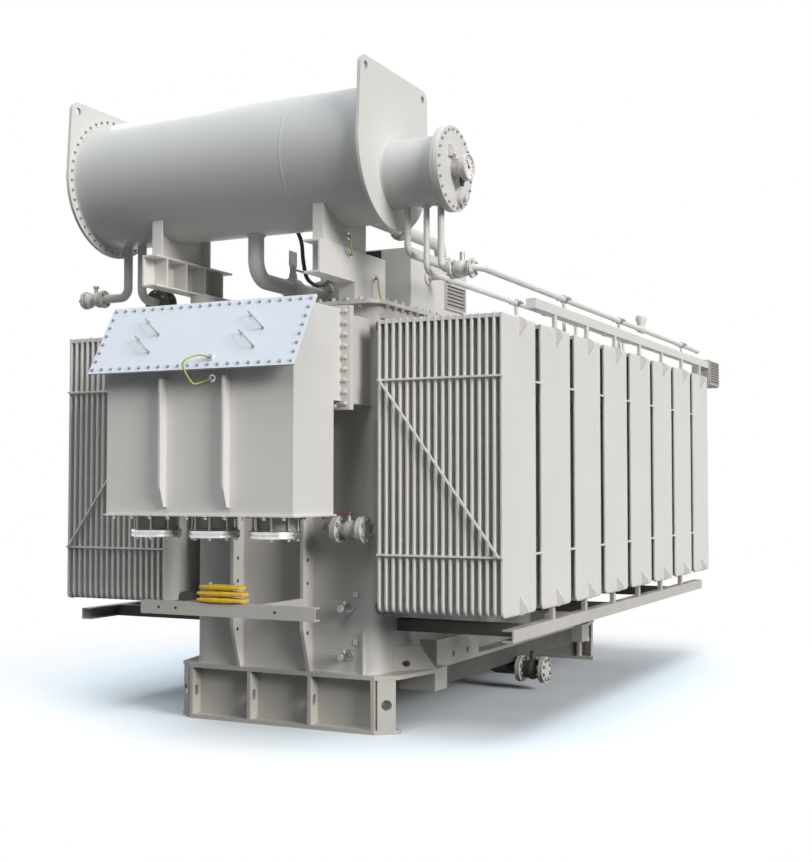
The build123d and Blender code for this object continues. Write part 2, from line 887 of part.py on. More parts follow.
def saddle_solid(middle_y, web_side):
    """Saddle plate cut to the shell, with an edge plate at each end of its web."""
    with BuildPart() as saddle:
        half = saddle_width / 2
        plate_top = conservator_z - (conservator_radius**2 - half**2) ** 0.5
        web_y = middle_y + web_side * (saddle_edge - saddle_plate) / 2
        with Locations((conservator_x, web_y, (beam_top + plate_top) / 2)):
            Box(saddle_width, saddle_plate, plate_top - beam_top)
        with Locations((conservator_x, middle_y, (beam_top + plate_top) / 2)):
            with GridLocations(saddle_width - saddle_plate, 0, 2, 1):
                Box(saddle_plate, saddle_edge, plate_top - beam_top)
        with BuildSketch(Plane.XZ.offset(-middle_y)):
            with Locations((conservator_x, conservator_z)):
                Circle(conservator_radius + seat_gap)
        extrude(amount=saddle_edge, both=True, mode=Mode.SUBTRACT)
    return saddle.part


with BuildPart() as conservator_saddles:
    add(saddle_solid(saddle_right_y, -1))
    add(saddle_solid(saddle_left_y, 1))
export(conservator_saddles, "conservator_saddles")


def beam_solid(middle_y, web_side):
    """Channel beam with stiffening ribs; the web closes the side that web_side points to."""
    with BuildPart() as beam:
        beam_mid = beam_front + beam_length / 2
        web_y = middle_y + web_side * (beam_width - beam_plate) / 2
        with Locations((beam_mid, web_y, beam_bottom + beam_height / 2)):
            Box(beam_length, beam_plate, beam_height)
        with Locations(
            (beam_mid, middle_y, beam_bottom + beam_plate / 2),
            (beam_mid, middle_y, beam_top - beam_plate / 2),
        ):
            Box(beam_length, beam_width, beam_plate)
        with Locations((beam_mid, middle_y, beam_bottom + beam_height / 2)):
            with GridLocations(beam_rib_pitch, 0, 4, 1):
                Box(beam_plate, beam_width, beam_height)
        cover_half = tank_half + cover_overhang_y
        foot_y = min(middle_y, cover_half - beam_width / 2)
        foot_x = beam_front + beam_length - beam_foot_length / 2
        with Locations((foot_x, foot_y, (beam_bottom + cover_top) / 2)):
            Box(beam_foot_length, beam_width, beam_lift)
    return beam.part


with BuildPart() as saddle_beams:
    add(beam_solid(saddle_right_y, -1))
    add(beam_solid(saddle_left_y, 1))
export(saddle_beams, "saddle_beams")

# Gas relay in the conservator's oil pipe, standing on the cover
pipe_start_z = conservator_z - conservator_radius - seat_gap
relay_rear = relay_front + relay_length
with BuildPart() as gas_relay:
    add(disc((relay_front, relay_pipe_y, relay_z), (1, 0, 0), relay_flange_radius, relay_flange))
    add(disc((relay_front, relay_pipe_y, relay_z), (1, 0, 0), relay_body_radius, relay_length))
    add(
        disc(
            (relay_rear - relay_flange, relay_pipe_y, relay_z),
            (1, 0, 0),
            relay_flange_radius,
            relay_flange,
        )
    )
    add(
        disc(
            (relay_front + relay_length / 2, relay_pipe_y, cover_top),
            (0, 0, 1),
            relay_pipe_radius,
            relay_z - cover_top,
        )
    )
export(gas_relay, "gas_relay")

# Conservator pipes: to the relay, the two breathers and the tap changer's vent and oil pipes
chamber_bottom = chamber_z - chamber_radius - seat_gap
valve_mid = breather_end_y - breather_valve_end
inner_z = breather_z - breather_step
turret_top = cover_top + turret_height
with BuildPart() as tap_pipe:
    add(
        elbow_pipe(
            [
                (conservator_x, tap_pipe_y, tap_pipe_z),
                (tap_end_x, tap_pipe_y, tap_pipe_z),
                (tap_end_x, tap_pipe_y, turret_top),
            ],
            tap_pipe_radius,
        )
    )
    with BuildSketch(Plane.XZ.offset(-tap_pipe_y)):
        with Locations((conservator_x, conservator_z)):
            Circle(conservator_radius + seat_gap)
    extrude(amount=2 * tap_pipe_radius, both=True, mode=Mode.SUBTRACT)
with BuildPart() as conservator_pipes:
    add(tap_pipe.part)
    add(
        bent_pipe(
            [
                (conservator_x, relay_pipe_y, pipe_start_z),
                (conservator_x, relay_pipe_y, relay_z),
                (relay_front, relay_pipe_y, relay_z),
            ],
            relay_pipe_radius,
            relay_bend,
        )
    )
    add(
        bent_pipe(
            [
                (conservator_x, breather_outer_y, pipe_start_z),
                (conservator_x, breather_outer_y, breather_z),
                (conservator_x, breather_end_y, breather_z),
            ],
            breather_radius,
            breather_bend,
        )
    )
    add(
        elbow_pipe(
            [
                (conservator_x, breather_inner_y, pipe_start_z),
                (conservator_x, breather_inner_y, inner_z),
                (tank_front + breather_run, breather_inner_y, inner_z),
            ],
            breather_radius,
        )
    )
    add(
        elbow_pipe(
            [
                (conservator_x, vent_pipe_y, chamber_bottom),
                (conservator_x, vent_pipe_y, vent_pipe_z),
                (vent_end_x, vent_pipe_y, vent_pipe_z),
                (vent_end_x, -turret_face, vent_pipe_z),
            ],
            drop_radius,
        )
    )
    for flange_y in (valve_mid - breather_valve_length / 2, valve_mid + breather_valve_length / 2):
        add(
            disc(
                (conservator_x, flange_y, breather_z),
                (0, 1, 0),
                valve_flange_radius,
                valve_flange,
            )
        )
export(conservator_pipes, "conservator_pipes")

# Pipes along the right bank: the oil pipe with its valve and the conduit, on stands over the headers
with BuildPart() as oil_pipe_right:
    oil_run_y = oil_pipe_y - oil_pipe_out
    add(
        elbow_pipe(
            [
                (conservator_x, oil_pipe_y, chamber_bottom),
                (conservator_x, oil_pipe_y, oil_pipe_z),
                (conservator_x, oil_run_y, oil_pipe_z),
                (oil_pipe_end, oil_run_y, oil_pipe_z),
            ],
            drop_radius,
        )
    )
    for reach in (oil_valve_start, oil_valve_start + oil_valve_length):
        add(
            disc(
                (conservator_x, oil_pipe_y - reach, oil_pipe_z),
                (0, -1, 0),
                valve_flange_radius,
                valve_flange,
            )
        )
    for i in oil_stands:
        with Locations((radiator_mids[i], oil_run_y, (panel_top + oil_pipe_z) / 2)):
            Box(stand_width, stand_plate, oil_pipe_z - panel_top)
export(oil_pipe_right, "oil_pipe_right")
with BuildPart() as conduit_right:
    add(
        elbow_pipe(
            [
                (conservator_x, conduit_y, chamber_bottom),
                (conservator_x, conduit_y, conduit_z),
                (conduit_end, conduit_y, conduit_z),
            ],
            conduit_radius,
        )
    )
    for i in conduit_stands:
        with Locations((radiator_mids[i], conduit_y, (panel_top + conduit_z) / 2)):
            Box(stand_width, stand_plate, conduit_z - panel_top)
export(conduit_right, "conduit_right")

# Turret box on the cover
with BuildPart() as turret_box:
    with Locations(
        (
            turret_front + turret_length / 2,
            turret_width / 2 - turret_face,
            cover_top + turret_height / 2,
        )
    ):
        Box(turret_length, turret_width, turret_height)
export(turret_box, "turret_box")

# Drain valve on the front wall: stub, two flanges, body and blank
drain_pipe_x = tank_front - drain_x
drain_wall_y = drain_y + drain_length / 2 + drain_flange + drain_wall_gap
lever_z = drain_z + drain_flange_radius + lever_clearance
with BuildPart() as drain_valve:
    add(
        elbow_pipe(
            [
                (tank_front, drain_wall_y, drain_z),
                (drain_pipe_x, drain_wall_y, drain_z),
                (drain_pipe_x, drain_y, drain_z),
            ],
            drain_radius,
        )
    )
    body_start = drain_y + drain_length / 2
    for flange_y in (body_start + drain_flange, body_start - drain_length):
        add(
            disc(
                (drain_pipe_x, flange_y, drain_z),
                (0, -1, 0),
                drain_flange_radius,
                2 * drain_flange,
            )
        )
    add(disc((drain_pipe_x, body_start, drain_z), (0, -1, 0), drain_body_radius, drain_length))
    add(
        disc(
            (drain_pipe_x, drain_y, drain_z),
            (0, 0, 1),
            stem_boss_radius,
            lever_z - lever_gap - drain_z,
        )
    )

# Red lever over the valve's stem
with BuildPart() as drain_lever:
    add(
        disc(
            (drain_pipe_x, drain_y, lever_z - lever_gap + seat_gap),
            (0, 0, 1),
            stem_radius,
            lever_gap,
        )
    )
    with Locations((drain_pipe_x, drain_y + lever_length / 2 - lever_width / 2, lever_z + lever_plate / 2)):
        Box(lever_width, lever_length, lever_plate)
export(drain_lever, "drain_lever")

# Sampling cocks low on the front wall
with BuildPart() as sampling_cocks:
    for level in sampler_heights:
        add(disc((tank_front, sampler_y, level), (-1, 0, 0), sampler_radius, sampler_length))
        add(disc((tank_front, sampler_y, level), (-1, 0, 0), sampler_flange_radius, sampler_flange))
        add(
            disc(
                (tank_front - sampler_stem_reach, sampler_y, level),
                (0, 0, 1),
                sampler_stem_radius,
                sampler_stem,
            )
        )

# Cable support: a channel in front of the end wall on two stays, and its cleat block
bar_front = tank_front - cable_bar_stand
bar_mid_z = cable_bar_z + cable_bar_height / 2
with BuildPart() as cable_support:
    with Locations((bar_front + cable_bar_plate / 2, 0, bar_mid_z)):
        Box(cable_bar_plate, cable_bar_width, cable_bar_height)
    with Locations((bar_front + cable_bar_depth / 2, 0, cable_bar_z + cable_bar_height)):
        with Locations((0, 0, -cable_bar_plate / 2), (0, 0, cable_bar_plate / 2 - cable_bar_height)):
            Box(cable_bar_depth, cable_bar_width, cable_bar_plate)
    stay_length = cable_bar_stand - cable_bar_depth - end_rib_depth
    with Locations((bar_front + cable_bar_depth + stay_length / 2, end_rib_shift, bar_mid_z)):
        with GridLocations(0, end_rib_spread, 1, 2):
            Box(stay_length, end_rib_width, cable_bar_height)
export(cable_support, "cable_support")
with BuildPart() as cable_cleat:
    cleat_base = cable_bar_z + cable_bar_height
    with Locations((bar_front + cable_bar_depth / 2, cleat_shift, cleat_base + cleat_height / 2)):
        Box(cleat_depth, cleat_width, cleat_height)
export(cable_cleat, "cable_cleat")

# Bottom valve on the right side, on a pipe that comes out under the side beam
with BuildPart() as bottom_valve:
    blank_y = -(half_w + bottom_valve_gap + bottom_valve_length)
    beam_inner = half_w - side_beam_inset - side_beam_width
    pipe_y = bottom_pipe_clearance - beam_inner
    add(
        elbow_pipe(
            [
                (bottom_valve_x, pipe_y, deck_bottom),
                (bottom_valve_x, pipe_y, bottom_valve_z),
                (bottom_valve_x, blank_y, bottom_valve_z),
            ],
            bottom_pipe_radius,
        )
    )
    for flange_y in (blank_y, blank_y + bottom_valve_length - 2 * valve_flange):
        add(
            disc(
                (bottom_valve_x, flange_y, bottom_valve_z),
                (0, 1, 0),
                bottom_valve_radius,
                2 * valve_flange,
            )
        )

# The tank's valves and cocks are one sub-part
with BuildPart() as tank_valves:
    add(drain_valve.part)
    add(sampling_cocks.part)
    add(bottom_valve.part)
export(tank_valves, "tank_valves")
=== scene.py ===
"""Looks of an oil-filled power transformer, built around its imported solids, in metres."""

import math

import bpy
from mathutils import Matrix, Vector


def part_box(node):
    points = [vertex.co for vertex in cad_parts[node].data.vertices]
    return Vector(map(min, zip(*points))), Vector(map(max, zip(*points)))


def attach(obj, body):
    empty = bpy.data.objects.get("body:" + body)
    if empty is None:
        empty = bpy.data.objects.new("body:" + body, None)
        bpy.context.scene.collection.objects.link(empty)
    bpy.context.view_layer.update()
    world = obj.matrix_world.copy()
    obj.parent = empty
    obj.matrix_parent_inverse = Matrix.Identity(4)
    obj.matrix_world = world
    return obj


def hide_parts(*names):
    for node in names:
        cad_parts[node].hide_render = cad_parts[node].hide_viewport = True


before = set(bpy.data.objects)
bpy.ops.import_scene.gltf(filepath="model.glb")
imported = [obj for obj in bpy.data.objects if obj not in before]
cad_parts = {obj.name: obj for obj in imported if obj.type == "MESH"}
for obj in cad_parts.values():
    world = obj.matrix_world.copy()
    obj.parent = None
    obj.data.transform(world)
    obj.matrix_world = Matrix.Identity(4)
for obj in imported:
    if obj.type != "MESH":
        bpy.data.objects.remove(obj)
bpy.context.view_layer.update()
BODY = "transformer"
LEVER_BODY = "lever"


class Shape:
    """Points and faces of one piece, gathered from simple forms."""

    def __init__(self):
        self.points = []
        self.faces = []
        self.slots = []

    def add(self, points, faces, slot=0):
        start = len(self.points)
        self.points.extend(Vector(p) for p in points)
        self.faces.extend([start + i for i in face] for face in faces)
        self.slots.extend([slot] * len(faces))

    def rings(self, rings, slot=0):
        """Skin a row of rings that have equal numbers of points, and close both ends."""
        count = len(rings[0])
        faces = []
        for r in range(len(rings) - 1):
            for i in range(count):
                j = (i + 1) % count
                faces.append((r * count + i, r * count + j, (r + 1) * count + j, (r + 1) * count + i))
        last = (len(rings) - 1) * count
        faces.append(tuple(range(count - 1, -1, -1)))
        faces.append(tuple(range(last, last + count)))
        self.add([p for ring in rings for p in ring], faces, slot)

    def box(self, low, high, slot=0, frame_of=Matrix.Identity(4)):
        """A box between two corners, in the axes of frame_of."""
        corners = ((low[0], low[1]), (high[0], low[1]), (high[0], high[1]), (low[0], high[1]))
        self.rings([[frame_of @ Vector((x, y, z)) for x, y in corners] for z in (low[2], high[2])], slot)

    def lathe(self, centre, axis, profile, sides=32, slot=0):
        """Turn a profile of (distance along the axis, radius) round the axis."""
        axes = side_axes(axis)
        along = Vector(axis).normalized()
        self.rings([circle(Vector(centre) + along * d, *axes, r, sides) for d, r in profile], slot)

    def disc(self, centre, axis, radius, thickness, sides=32, slot=0, edge=0.002):
        """A flat disc with its two rims eased."""
        eased = radius - edge
        profile = [(0, eased), (edge, radius), (thickness - edge, radius), (thickness, eased)]
        self.lathe(centre, axis, profile, sides, slot)

    def tube(self, points, radius, sides=16, slot=0):
        """A round bar through a row of points."""
        points = [Vector(p) for p in points]
        rings = []
        across = None
        for i, point in enumerate(points):
            ahead = points[min(i + 1, len(points) - 1)] - points[max(i - 1, 0)]
            ahead.normalize()
            if across is None:
                across = side_axes(ahead)[0]
            across = (across - ahead * across.dot(ahead)).normalized()
            rings.append(circle(point, across, ahead.cross(across), radius, sides))
        self.rings(rings, slot)

    def bolt(self, centre, axis, size, slot=0):
        """A hexagon bolt head on its washer, standing along axis; size is across the head."""
        washer, flat, chamfer = size * 0.675, size * 0.54, size * 0.44
        self.lathe(centre, axis, [(0, washer), (size * 0.14, washer)], 14, slot)
        head = [(size * 0.14, flat), (size * 0.66, flat), (size * 0.76, chamfer)]
        self.lathe(centre, axis, head, 6, slot)

    def bolt_ring(self, centre, axis, radius, count, size, slot=0):
        """Bolts evenly spaced on a circle."""
        for place in circle(Vector(centre), *side_axes(axis), radius, count, 0.5):
            self.bolt(place, axis, size, slot)

    def bolt_row(self, start, end, count, axis, size, slot=0):
        """Bolts evenly spaced on a straight line, ends included."""
        for i in range(count):
            self.bolt(Vector(start).lerp(Vector(end), i / (count - 1)), axis, size, slot)

    def mirror(self):
        """Repeat all faces at the other end of the tank."""
        start = len(self.points)
        self.points.extend([Vector((2 * TANK_MIDDLE - p.x, p.y, p.z)) for p in self.points])
        self.faces.extend([start + i for i in reversed(face)] for face in list(self.faces))
        self.slots.extend(list(self.slots))

    def piece(self, name, materials, replaces=(), body=BODY, crease=32):
        """Turn the gathered faces into an object that rides on a body."""
        mesh = bpy.data.meshes.new(name)
        mesh.from_pydata([tuple(p) for p in self.points], [], self.faces)
        for material in materials:
            mesh.materials.append(material)
        mesh.polygons.foreach_set("material_index", self.slots)
        mesh.polygons.foreach_set("use_smooth", [True] * len(self.faces))
        mesh.set_sharp_from_angle(angle=math.radians(crease))
        mesh.update()
        obj = bpy.data.objects.new(name, mesh)
        bpy.context.scene.collection.objects.link(obj)
        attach(obj, body)
        for node in replaces:
            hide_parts(node)


def side_axes(axis):
    """Two unit vectors square to an axis and to each other."""
    along = Vector(axis).normalized()
    helper = Vector((0, 0, 1)) if abs(along.z) < 0.9 else Vector((1, 0, 0))
    across = helper.cross(along).normalized()
    return across, along.cross(across)


def circle(centre, across, up, radius, count, turn=0.0):
    """Points evenly spaced on a circle, turned by a share of their step."""
    angles = [2 * math.pi * (i + turn) / count for i in range(count)]
    return [centre + (across * math.cos(a) + up * math.sin(a)) * radius for a in angles]


def pipe_path(points, bend, steps=8):
    """Straight runs with an arc of one bend radius at each corner of a rigid pipe."""
    points = [Vector(p) for p in points]
    path = [points[0]]
    for before, corner, after in zip(points, points[1:], points[2:]):
        to_start = (before - corner).normalized()
        to_end = (after - corner).normalized()
        half = to_start.angle(to_end) / 2
        reach = bend / math.tan(half)
        centre = corner + (to_start + to_end).normalized() * (bend / math.sin(half))
        first = corner + to_start * reach - centre
        last = corner + to_end * reach - centre
        for i in range(steps + 1):
            path.append(centre + first.slerp(last, i / steps).normalized() * bend)
    path.append(points[-1])
    return path


def smooth_path(points, steps=8):
    """A soft line through a row of points, for a short lead bolted at both ends."""
    points = [Vector(p) for p in points]
    ends = [points[0] * 2 - points[1]] + points + [points[-1] * 2 - points[-2]]
    path = []
    for a, b, c, d in zip(ends, ends[1:], ends[2:], ends[3:]):
        for i in range(steps):
            t = i / steps
            bend = 2 * b + (c - a) * t + (2 * a - 5 * b + 4 * c - d) * t**2 + (3 * b - a - 3 * c + d) * t**3
            path.append(bend / 2)
    path.append(points[-1])
    return path


def facing(origin, across, up):
    """Axes on a plate: local X runs across, local Y up, local Z out of it."""
    across = Vector(across).normalized()
    up = Vector(up).normalized()
    out = across.cross(up)
    place = Matrix((across, up, out)).transposed().to_4x4()
    place.translation = Vector(origin)
    return place


# Materials

NOISE_LOW, NOISE_HIGH = 0.3, 0.7
# Scale and detail of each noise, and how brushing is stretched
PAINT_CLOUDS, PAINT_PATCHES, PAINT_GRAIN = (2.2, 6.0), (14, 5.0), (40, 2.0)
METAL_CLOUDS, METAL_BRUSHING = (30, 5.0), (120, 3.0, (1.0, 1.0, 14.0))
PLASTIC_CLOUDS = (25, 4.0)
PAINT_SPECULAR = 0.3


def new_node(tree, kind, values=None, sources=None):
    """A node of a tree, with values and links for its sockets."""
    node = tree.nodes.new("ShaderNode" + kind)
    for socket, value in (values or {}).items():
        node.inputs[socket].default_value = value
    for socket, source in (sources or {}).items():
        tree.links.new(source, node.inputs[socket])
    return node


def noise(tree, scale, detail, stretch=None):
    """Noise in the object's own coordinates, so it has the same scale on every piece."""
    place = new_node(tree, "TexCoord").outputs["Object"]
    if stretch:
        place = new_node(tree, "Mapping", {"Scale": stretch}, {"Vector": place}).outputs["Vector"]
    values = {"Scale": scale, "Detail": detail}
    return new_node(tree, "TexNoise", values, {"Vector": place}).outputs["Fac"]


def spread(tree, value, low, high):
    """Map the usual range of a noise onto another range."""
    values = {"From Min": NOISE_LOW, "From Max": NOISE_HIGH, "To Min": low, "To Max": high}
    return new_node(tree, "MapRange", values, {"Value": value}).outputs["Result"]


def tinted(tree, value, dark, light, low=NOISE_LOW, high=NOISE_HIGH):
    """Mix two colours by a value."""
    ramp = new_node(tree, "ValToRGB", None, {"Fac": value})
    for element, position, colour in zip(ramp.color_ramp.elements, (low, high), (dark, light)):
        element.position = position
        element.color = (*colour, 1)
    return ramp.outputs["Color"]


def bumped(tree, height, strength, distance, radius):
    """Bump on edges that are eased by a small radius."""
    bevel = new_node(tree, "Bevel", {"Radius": radius})
    bevel.samples = 4
    values = {"Strength": strength, "Distance": distance}
    sources = {"Height": height, "Normal": bevel.outputs["Normal"]}
    return new_node(tree, "Bump", values, sources).outputs["Normal"]


def surface(name, dark, light, clouds, patches, rough, values):
    """A material with clouds between two colours and patches of roughness."""
    material = bpy.data.materials.new(name)
    material.use_nodes = True
    tree = material.node_tree
    sockets = tree.nodes["Principled BSDF"].inputs
    tree.links.new(tinted(tree, noise(tree, *clouds), dark, light), sockets["Base Color"])
    tree.links.new(spread(tree, noise(tree, *patches), *rough), sockets["Roughness"])
    for socket, value in values.items():
        sockets[socket].default_value = value
    return material, tree, sockets["Normal"]


def paint(name, colour, shift=0.03, rough=(0.36, 0.52), edge=0.003, grain=0.05):
    """Satin plant paint: slight clouds of tone, sprayed grain and eased edges."""
    dark = [c * (1 - shift) for c in colour]
    light = [min(1, c * (1 + shift)) for c in colour]
    values = {"Specular IOR Level": PAINT_SPECULAR}
    material, tree, normal = surface(name, dark, light, PAINT_CLOUDS, PAINT_PATCHES, rough, values)
    tree.links.new(bumped(tree, noise(tree, *PAINT_GRAIN), grain, 0.0006, edge), normal)
    return material


def metal(name, colour, rough=(0.22, 0.40)):
    """Bare or plated metal with fine brushing."""
    dark = [c * 0.82 for c in colour]
    values = {"Metallic": 1.0}
    material, tree, normal = surface(name, dark, colour, METAL_CLOUDS, METAL_CLOUDS, rough, values)
    tree.links.new(bumped(tree, noise(tree, *METAL_BRUSHING), 0.1, 0.001, 0.001), normal)
    return material


def plastic(name, colour, rough=(0.4, 0.6)):
    """Plain moulded plastic or rubber."""
    dark = [c * 0.85 for c in colour]
    return surface(name, dark, colour, PLASTIC_CLOUDS, PLASTIC_CLOUDS, rough, {})[0]


GREY = paint("grey_paint", (0.57, 0.555, 0.525))
PANEL = paint("panel_paint", (0.64, 0.625, 0.595), 0.02)
# A darker copy of the panel paint, for the drum and the chamber: painted shade.
DRUM = paint("drum_paint", (0.52, 0.525, 0.515), 0.02, (0.28, 0.34), grain=0.01)
BASE_GREY = paint("base_paint", (0.46, 0.445, 0.405), 0.06, (0.42, 0.62))
LID = paint("lid_paint", (0.60, 0.635, 0.69), 0.02, (0.3, 0.44))
# Near-black paint for parts in deep shade under the deck and the radiators, on the bottom valve and on the
# breather's filter: painted shade.
PAINTED_SHADE = paint("painted_shade_dark_paint", (0.10, 0.097, 0.09), 0.12, (0.5, 0.7))
STEEL = metal("plated_steel", (0.74, 0.74, 0.73))
BOLT = metal("bolt_steel", (0.36, 0.36, 0.36), (0.45, 0.62))
CHROME = metal("polished_metal", (0.86, 0.86, 0.87), (0.08, 0.2))
RED = paint("lever_paint", (0.46, 0.035, 0.045), 0.08, (0.25, 0.4), 0.001)
YELLOW = plastic("cleat_plastic", (0.78, 0.50, 0.03))
# Black for hoses, gauge marks and small fittings, and also painted shade: discs where bolt holes are,
# sheets behind louvre slats and a patch on the turret's front.
BLACK_RUBBER_AND_SHADE = plastic("black_rubber_and_painted_shade", (0.018, 0.018, 0.019))
STRAP = plastic("earth_strap", (0.50, 0.52, 0.12))
DIAL = plastic("dial_white", (0.86, 0.86, 0.84), (0.2, 0.3))

NODES_BY_MATERIAL = {
    LID: ("cable_box_front_lid", "cable_box_rear_lid"),
    BASE_GREY: ("base_deck", "base_feet", "hauling_plates", "jacking_brackets", "cable_support",
                "radiator_rails", "louvred_box"),
    # The side beams, rail arms and collector pipes take the near-black painted shade.
    PAINTED_SHADE: ("base_side_beams", "rail_arms", "collector_pipes"),
    PANEL: ("fin_ties", "fin_braces", "cable_box_front", "cable_box_rear", "conservator_plate_left",
            "conservator_plate_right", "conservator_saddles", "saddle_beams", "cable_tray_right",
            "chamber_cover"),
}
node_materials = {name: look for look, names in NODES_BY_MATERIAL.items() for name in names}
for node_name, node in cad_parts.items():
    node.data.materials.clear()
    node.data.materials.append(node_materials.get(node_name, GREY))

# Places shared by several pieces, read from the frame

tank_low, tank_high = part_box("tank_body")
cover_low, cover_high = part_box("tank_cover")
deck_low, deck_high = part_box("base_deck")
drum_low, drum_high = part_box("conservator_shell")
turret_low, turret_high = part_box("turret_box")
chamber_low, chamber_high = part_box("chamber_shell")
relay_low, relay_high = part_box("gas_relay")
TANK_MIDDLE = (tank_low.x + tank_high.x) / 2
DRUM_X = (drum_low.x + drum_high.x) / 2
DRUM_Z = (drum_low.z + drum_high.z) / 2
DRUM_RADIUS = (drum_high.x - drum_low.x) / 2
DRUM_BOTTOM = drum_low.z
PIPE_INSET = 0.004
CHAMBER_BOTTOM = chamber_low.z + PIPE_INSET
RELAY_Y = (relay_low.y + relay_high.y) / 2
RELAY_Z = relay_high.z - 0.105
RIB_PLACES = (-0.2015, 0.3015)
RIGHT = Vector((0, -1, 0))
LEFT = Vector((0, 1, 0))
FRONT = Vector((-1, 0, 0))
REAR = Vector((1, 0, 0))
UP = Vector((0, 0, 1))
DOWN = Vector((0, 0, -1))

# Radiators: pressed panels hung from a top bar, over a bottom header, with lugs and vent plugs

PANEL_COUNT = 18
PANEL_PITCH = 0.045
PANEL_WIDTH = 0.520
PANEL_HALF = 0.010
PANEL_CORNER = 0.035
RADIATOR_PITCH = 0.620
RADIATORS_A_NODE = 4
FLUTES = 8
FLUTE_DEPTH = 0.0012
NOSE = 0.009
TOP_BAR = 0.028
TOP_BAR_SUNK = 0.005
HEADER_HALF = 0.055
HEADER_HEIGHT = 0.036
LUG_PROUD = 0.045
LUG_HEIGHT = 0.110
LUG_HALF = 0.007
LUG_OUTLINE = ((0.0, 0.2), (0.1, 0.7), (0.22, 0.95), (0.36, 1.0), (0.5, 0.9), (0.68, 0.55), (0.88, 0.25))
NOSE_PROFILE = ((0.0, 0.55), (0.2, 0.82), (0.5, 0.96), (1.0, 1.0))
FLUTE_PROFILE = ((-0.014, 0.0), (-0.005, 1.0), (0.005, 1.0), (0.014, 0.0))
PANEL_ENDS = ((0.0, 0.45), (0.004, 0.8), (0.012, 1.0), (0.022, 1.0), (0.045, 1.0))
INNER_PANELS_RAISED = 0.004
BAR_INSET = 0.001
HEADER_LIFT = 0.002
VENT_PLUGS = ((0.11, 0.06, 0.034), (-0.15, 0.09, 0.024))


def panel_columns(fluted):
    """Places across a panel and the half thickness at each."""
    columns = [(NOSE * t, PANEL_HALF * h) for t, h in NOSE_PROFILE]
    if fluted:
        flute = (PANEL_WIDTH - 2 * NOSE) / FLUTES
        for i in range(1, FLUTES):
            valley = NOSE + flute * i
            for step, depth in FLUTE_PROFILE:
                columns.append((valley + step, PANEL_HALF - FLUTE_DEPTH * depth))
    columns.extend((PANEL_WIDTH - x, h) for x, h in reversed(columns[:len(NOSE_PROFILE)]))
    return columns


def add_panel(shape, front, middle_y, bottom, top, fluted):
    """One panel: two pressed sheets that close along a rounded rim, with round corners below."""
    columns = panel_columns(fluted)
    count = len(columns)
    rows = [(bottom + d, s) for d, s in PANEL_ENDS] + [(top - d, s) for d, s in reversed(PANEL_ENDS)]
    flat = PANEL_WIDTH / 2
    for side in (-1, 1):
        points = []
        for z, squeeze in rows:
            below = max(0.0, PANEL_CORNER - (z - bottom))
            trim = PANEL_CORNER - math.sqrt(PANEL_CORNER**2 - below**2)
            near_end = min(z - bottom, top - z) < PANEL_ENDS[-1][0]
            for x, half in columns:
                place = flat + (x - flat) * (PANEL_WIDTH - 2 * trim) / PANEL_WIDTH
                pressed = PANEL_HALF if near_end and NOSE < x < PANEL_WIDTH - NOSE else half
                points.append((front + place, middle_y + side * pressed * squeeze, z))
        faces = []
        for r in range(len(rows) - 1):
            for c in range(count - 1):
                a = r * count + c
                quad = (a, a + 1, a + 1 + count, a + count)
                faces.append(quad if side < 0 else quad[::-1])
        shape.add(points, faces)
    # The rim closes the narrow gap between the two sheets
    size = count * len(rows)
    low = len(shape.points) - 2 * size
    edge = list(range(count))
    edge += [r * count + count - 1 for r in range(1, len(rows))]
    edge += [size - count + c for c in range(count - 2, -1, -1)]
    edge += [r * count for r in range(len(rows) - 2, 0, -1)]
    for a, b in zip(edge, edge[1:] + edge[:1]):
        shape.faces.append([low + b, low + a, low + size + a, low + size + b])
        shape.slots.append(0)


def add_lug(shape, x, face_y, out, tip, way):
    """A drop-shaped plate on the outer panel; it starts at the tip and narrows along way."""
    outline = [(face_y, tip)]
    outline += [(face_y + out * LUG_PROUD * o, tip + way * LUG_HEIGHT * s) for s, o in LUG_OUTLINE]
    outline.append((face_y, tip + way * LUG_HEIGHT))
    shape.rings([[(x + s * LUG_HALF, y, z) for y, z in outline] for s in (-1, 1)])


def radiators():
    """Replace each node of four radiators with pressed panels."""
    for side, out in (("right", -1), ("left", 1)):
        for place in ("front", "rear"):
            node = f"radiators_{side}_{place}"
            low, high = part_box(node)
            face = (low.y if out < 0 else high.y) - out * LUG_PROUD
            inner = high.y if out < 0 else low.y
            shape = Shape()
            for i in range(RADIATORS_A_NODE):
                front = low.x + RADIATOR_PITCH * i
                middle = front + PANEL_WIDTH / 2
                for k in range(PANEL_COUNT):
                    y = face - out * (PANEL_HALF + PANEL_PITCH * k)
                    bottom = low.z if k == 0 else low.z + INNER_PANELS_RAISED
                    add_panel(shape, front, y, bottom, high.z, k in (0, PANEL_COUNT - 1))
                near, far = sorted((inner, face - out * BAR_INSET))
                shape.box(
                    (front + BAR_INSET, near, high.z - TOP_BAR),
                    (front + PANEL_WIDTH - BAR_INSET, far, high.z - TOP_BAR_SUNK),
                )
                near, far = sorted((inner, face - out * PANEL_HALF))
                shape.box(
                    (middle - HEADER_HALF, near, low.z + HEADER_LIFT),
                    (middle + HEADER_HALF, far, low.z + HEADER_HEIGHT),
                )
                add_lug(shape, middle, face, out, high.z, -1)
                add_lug(shape, middle, face, out, low.z, 1)
                for shift, inset, size in VENT_PLUGS:
                    shape.bolt((middle + shift, face - out * inset, high.z), UP, size, 1)
            shape.piece(f"pressed_panels_{side}_{place}", [PANEL, GREY], [node], crease=50)


radiators()

# Conservator: welded drum, bolted end plate, tap changer's chamber and oil level gauge

BEAD = 0.005
SEAM_SHARE = 0.26
SEAM_RISE = 0.001
END_BOLTS, END_BOLT, END_BOLT_REACH = 44, 0.014, 0.026
CHAMBER_BOLTS, CHAMBER_BOLT, CHAMBER_BOLT_INSET = 24, 0.015, 0.021
CHAMBER_FLANGE = 0.020
BOSS_SIDE = 0.062
DIAL_MARKS = 11


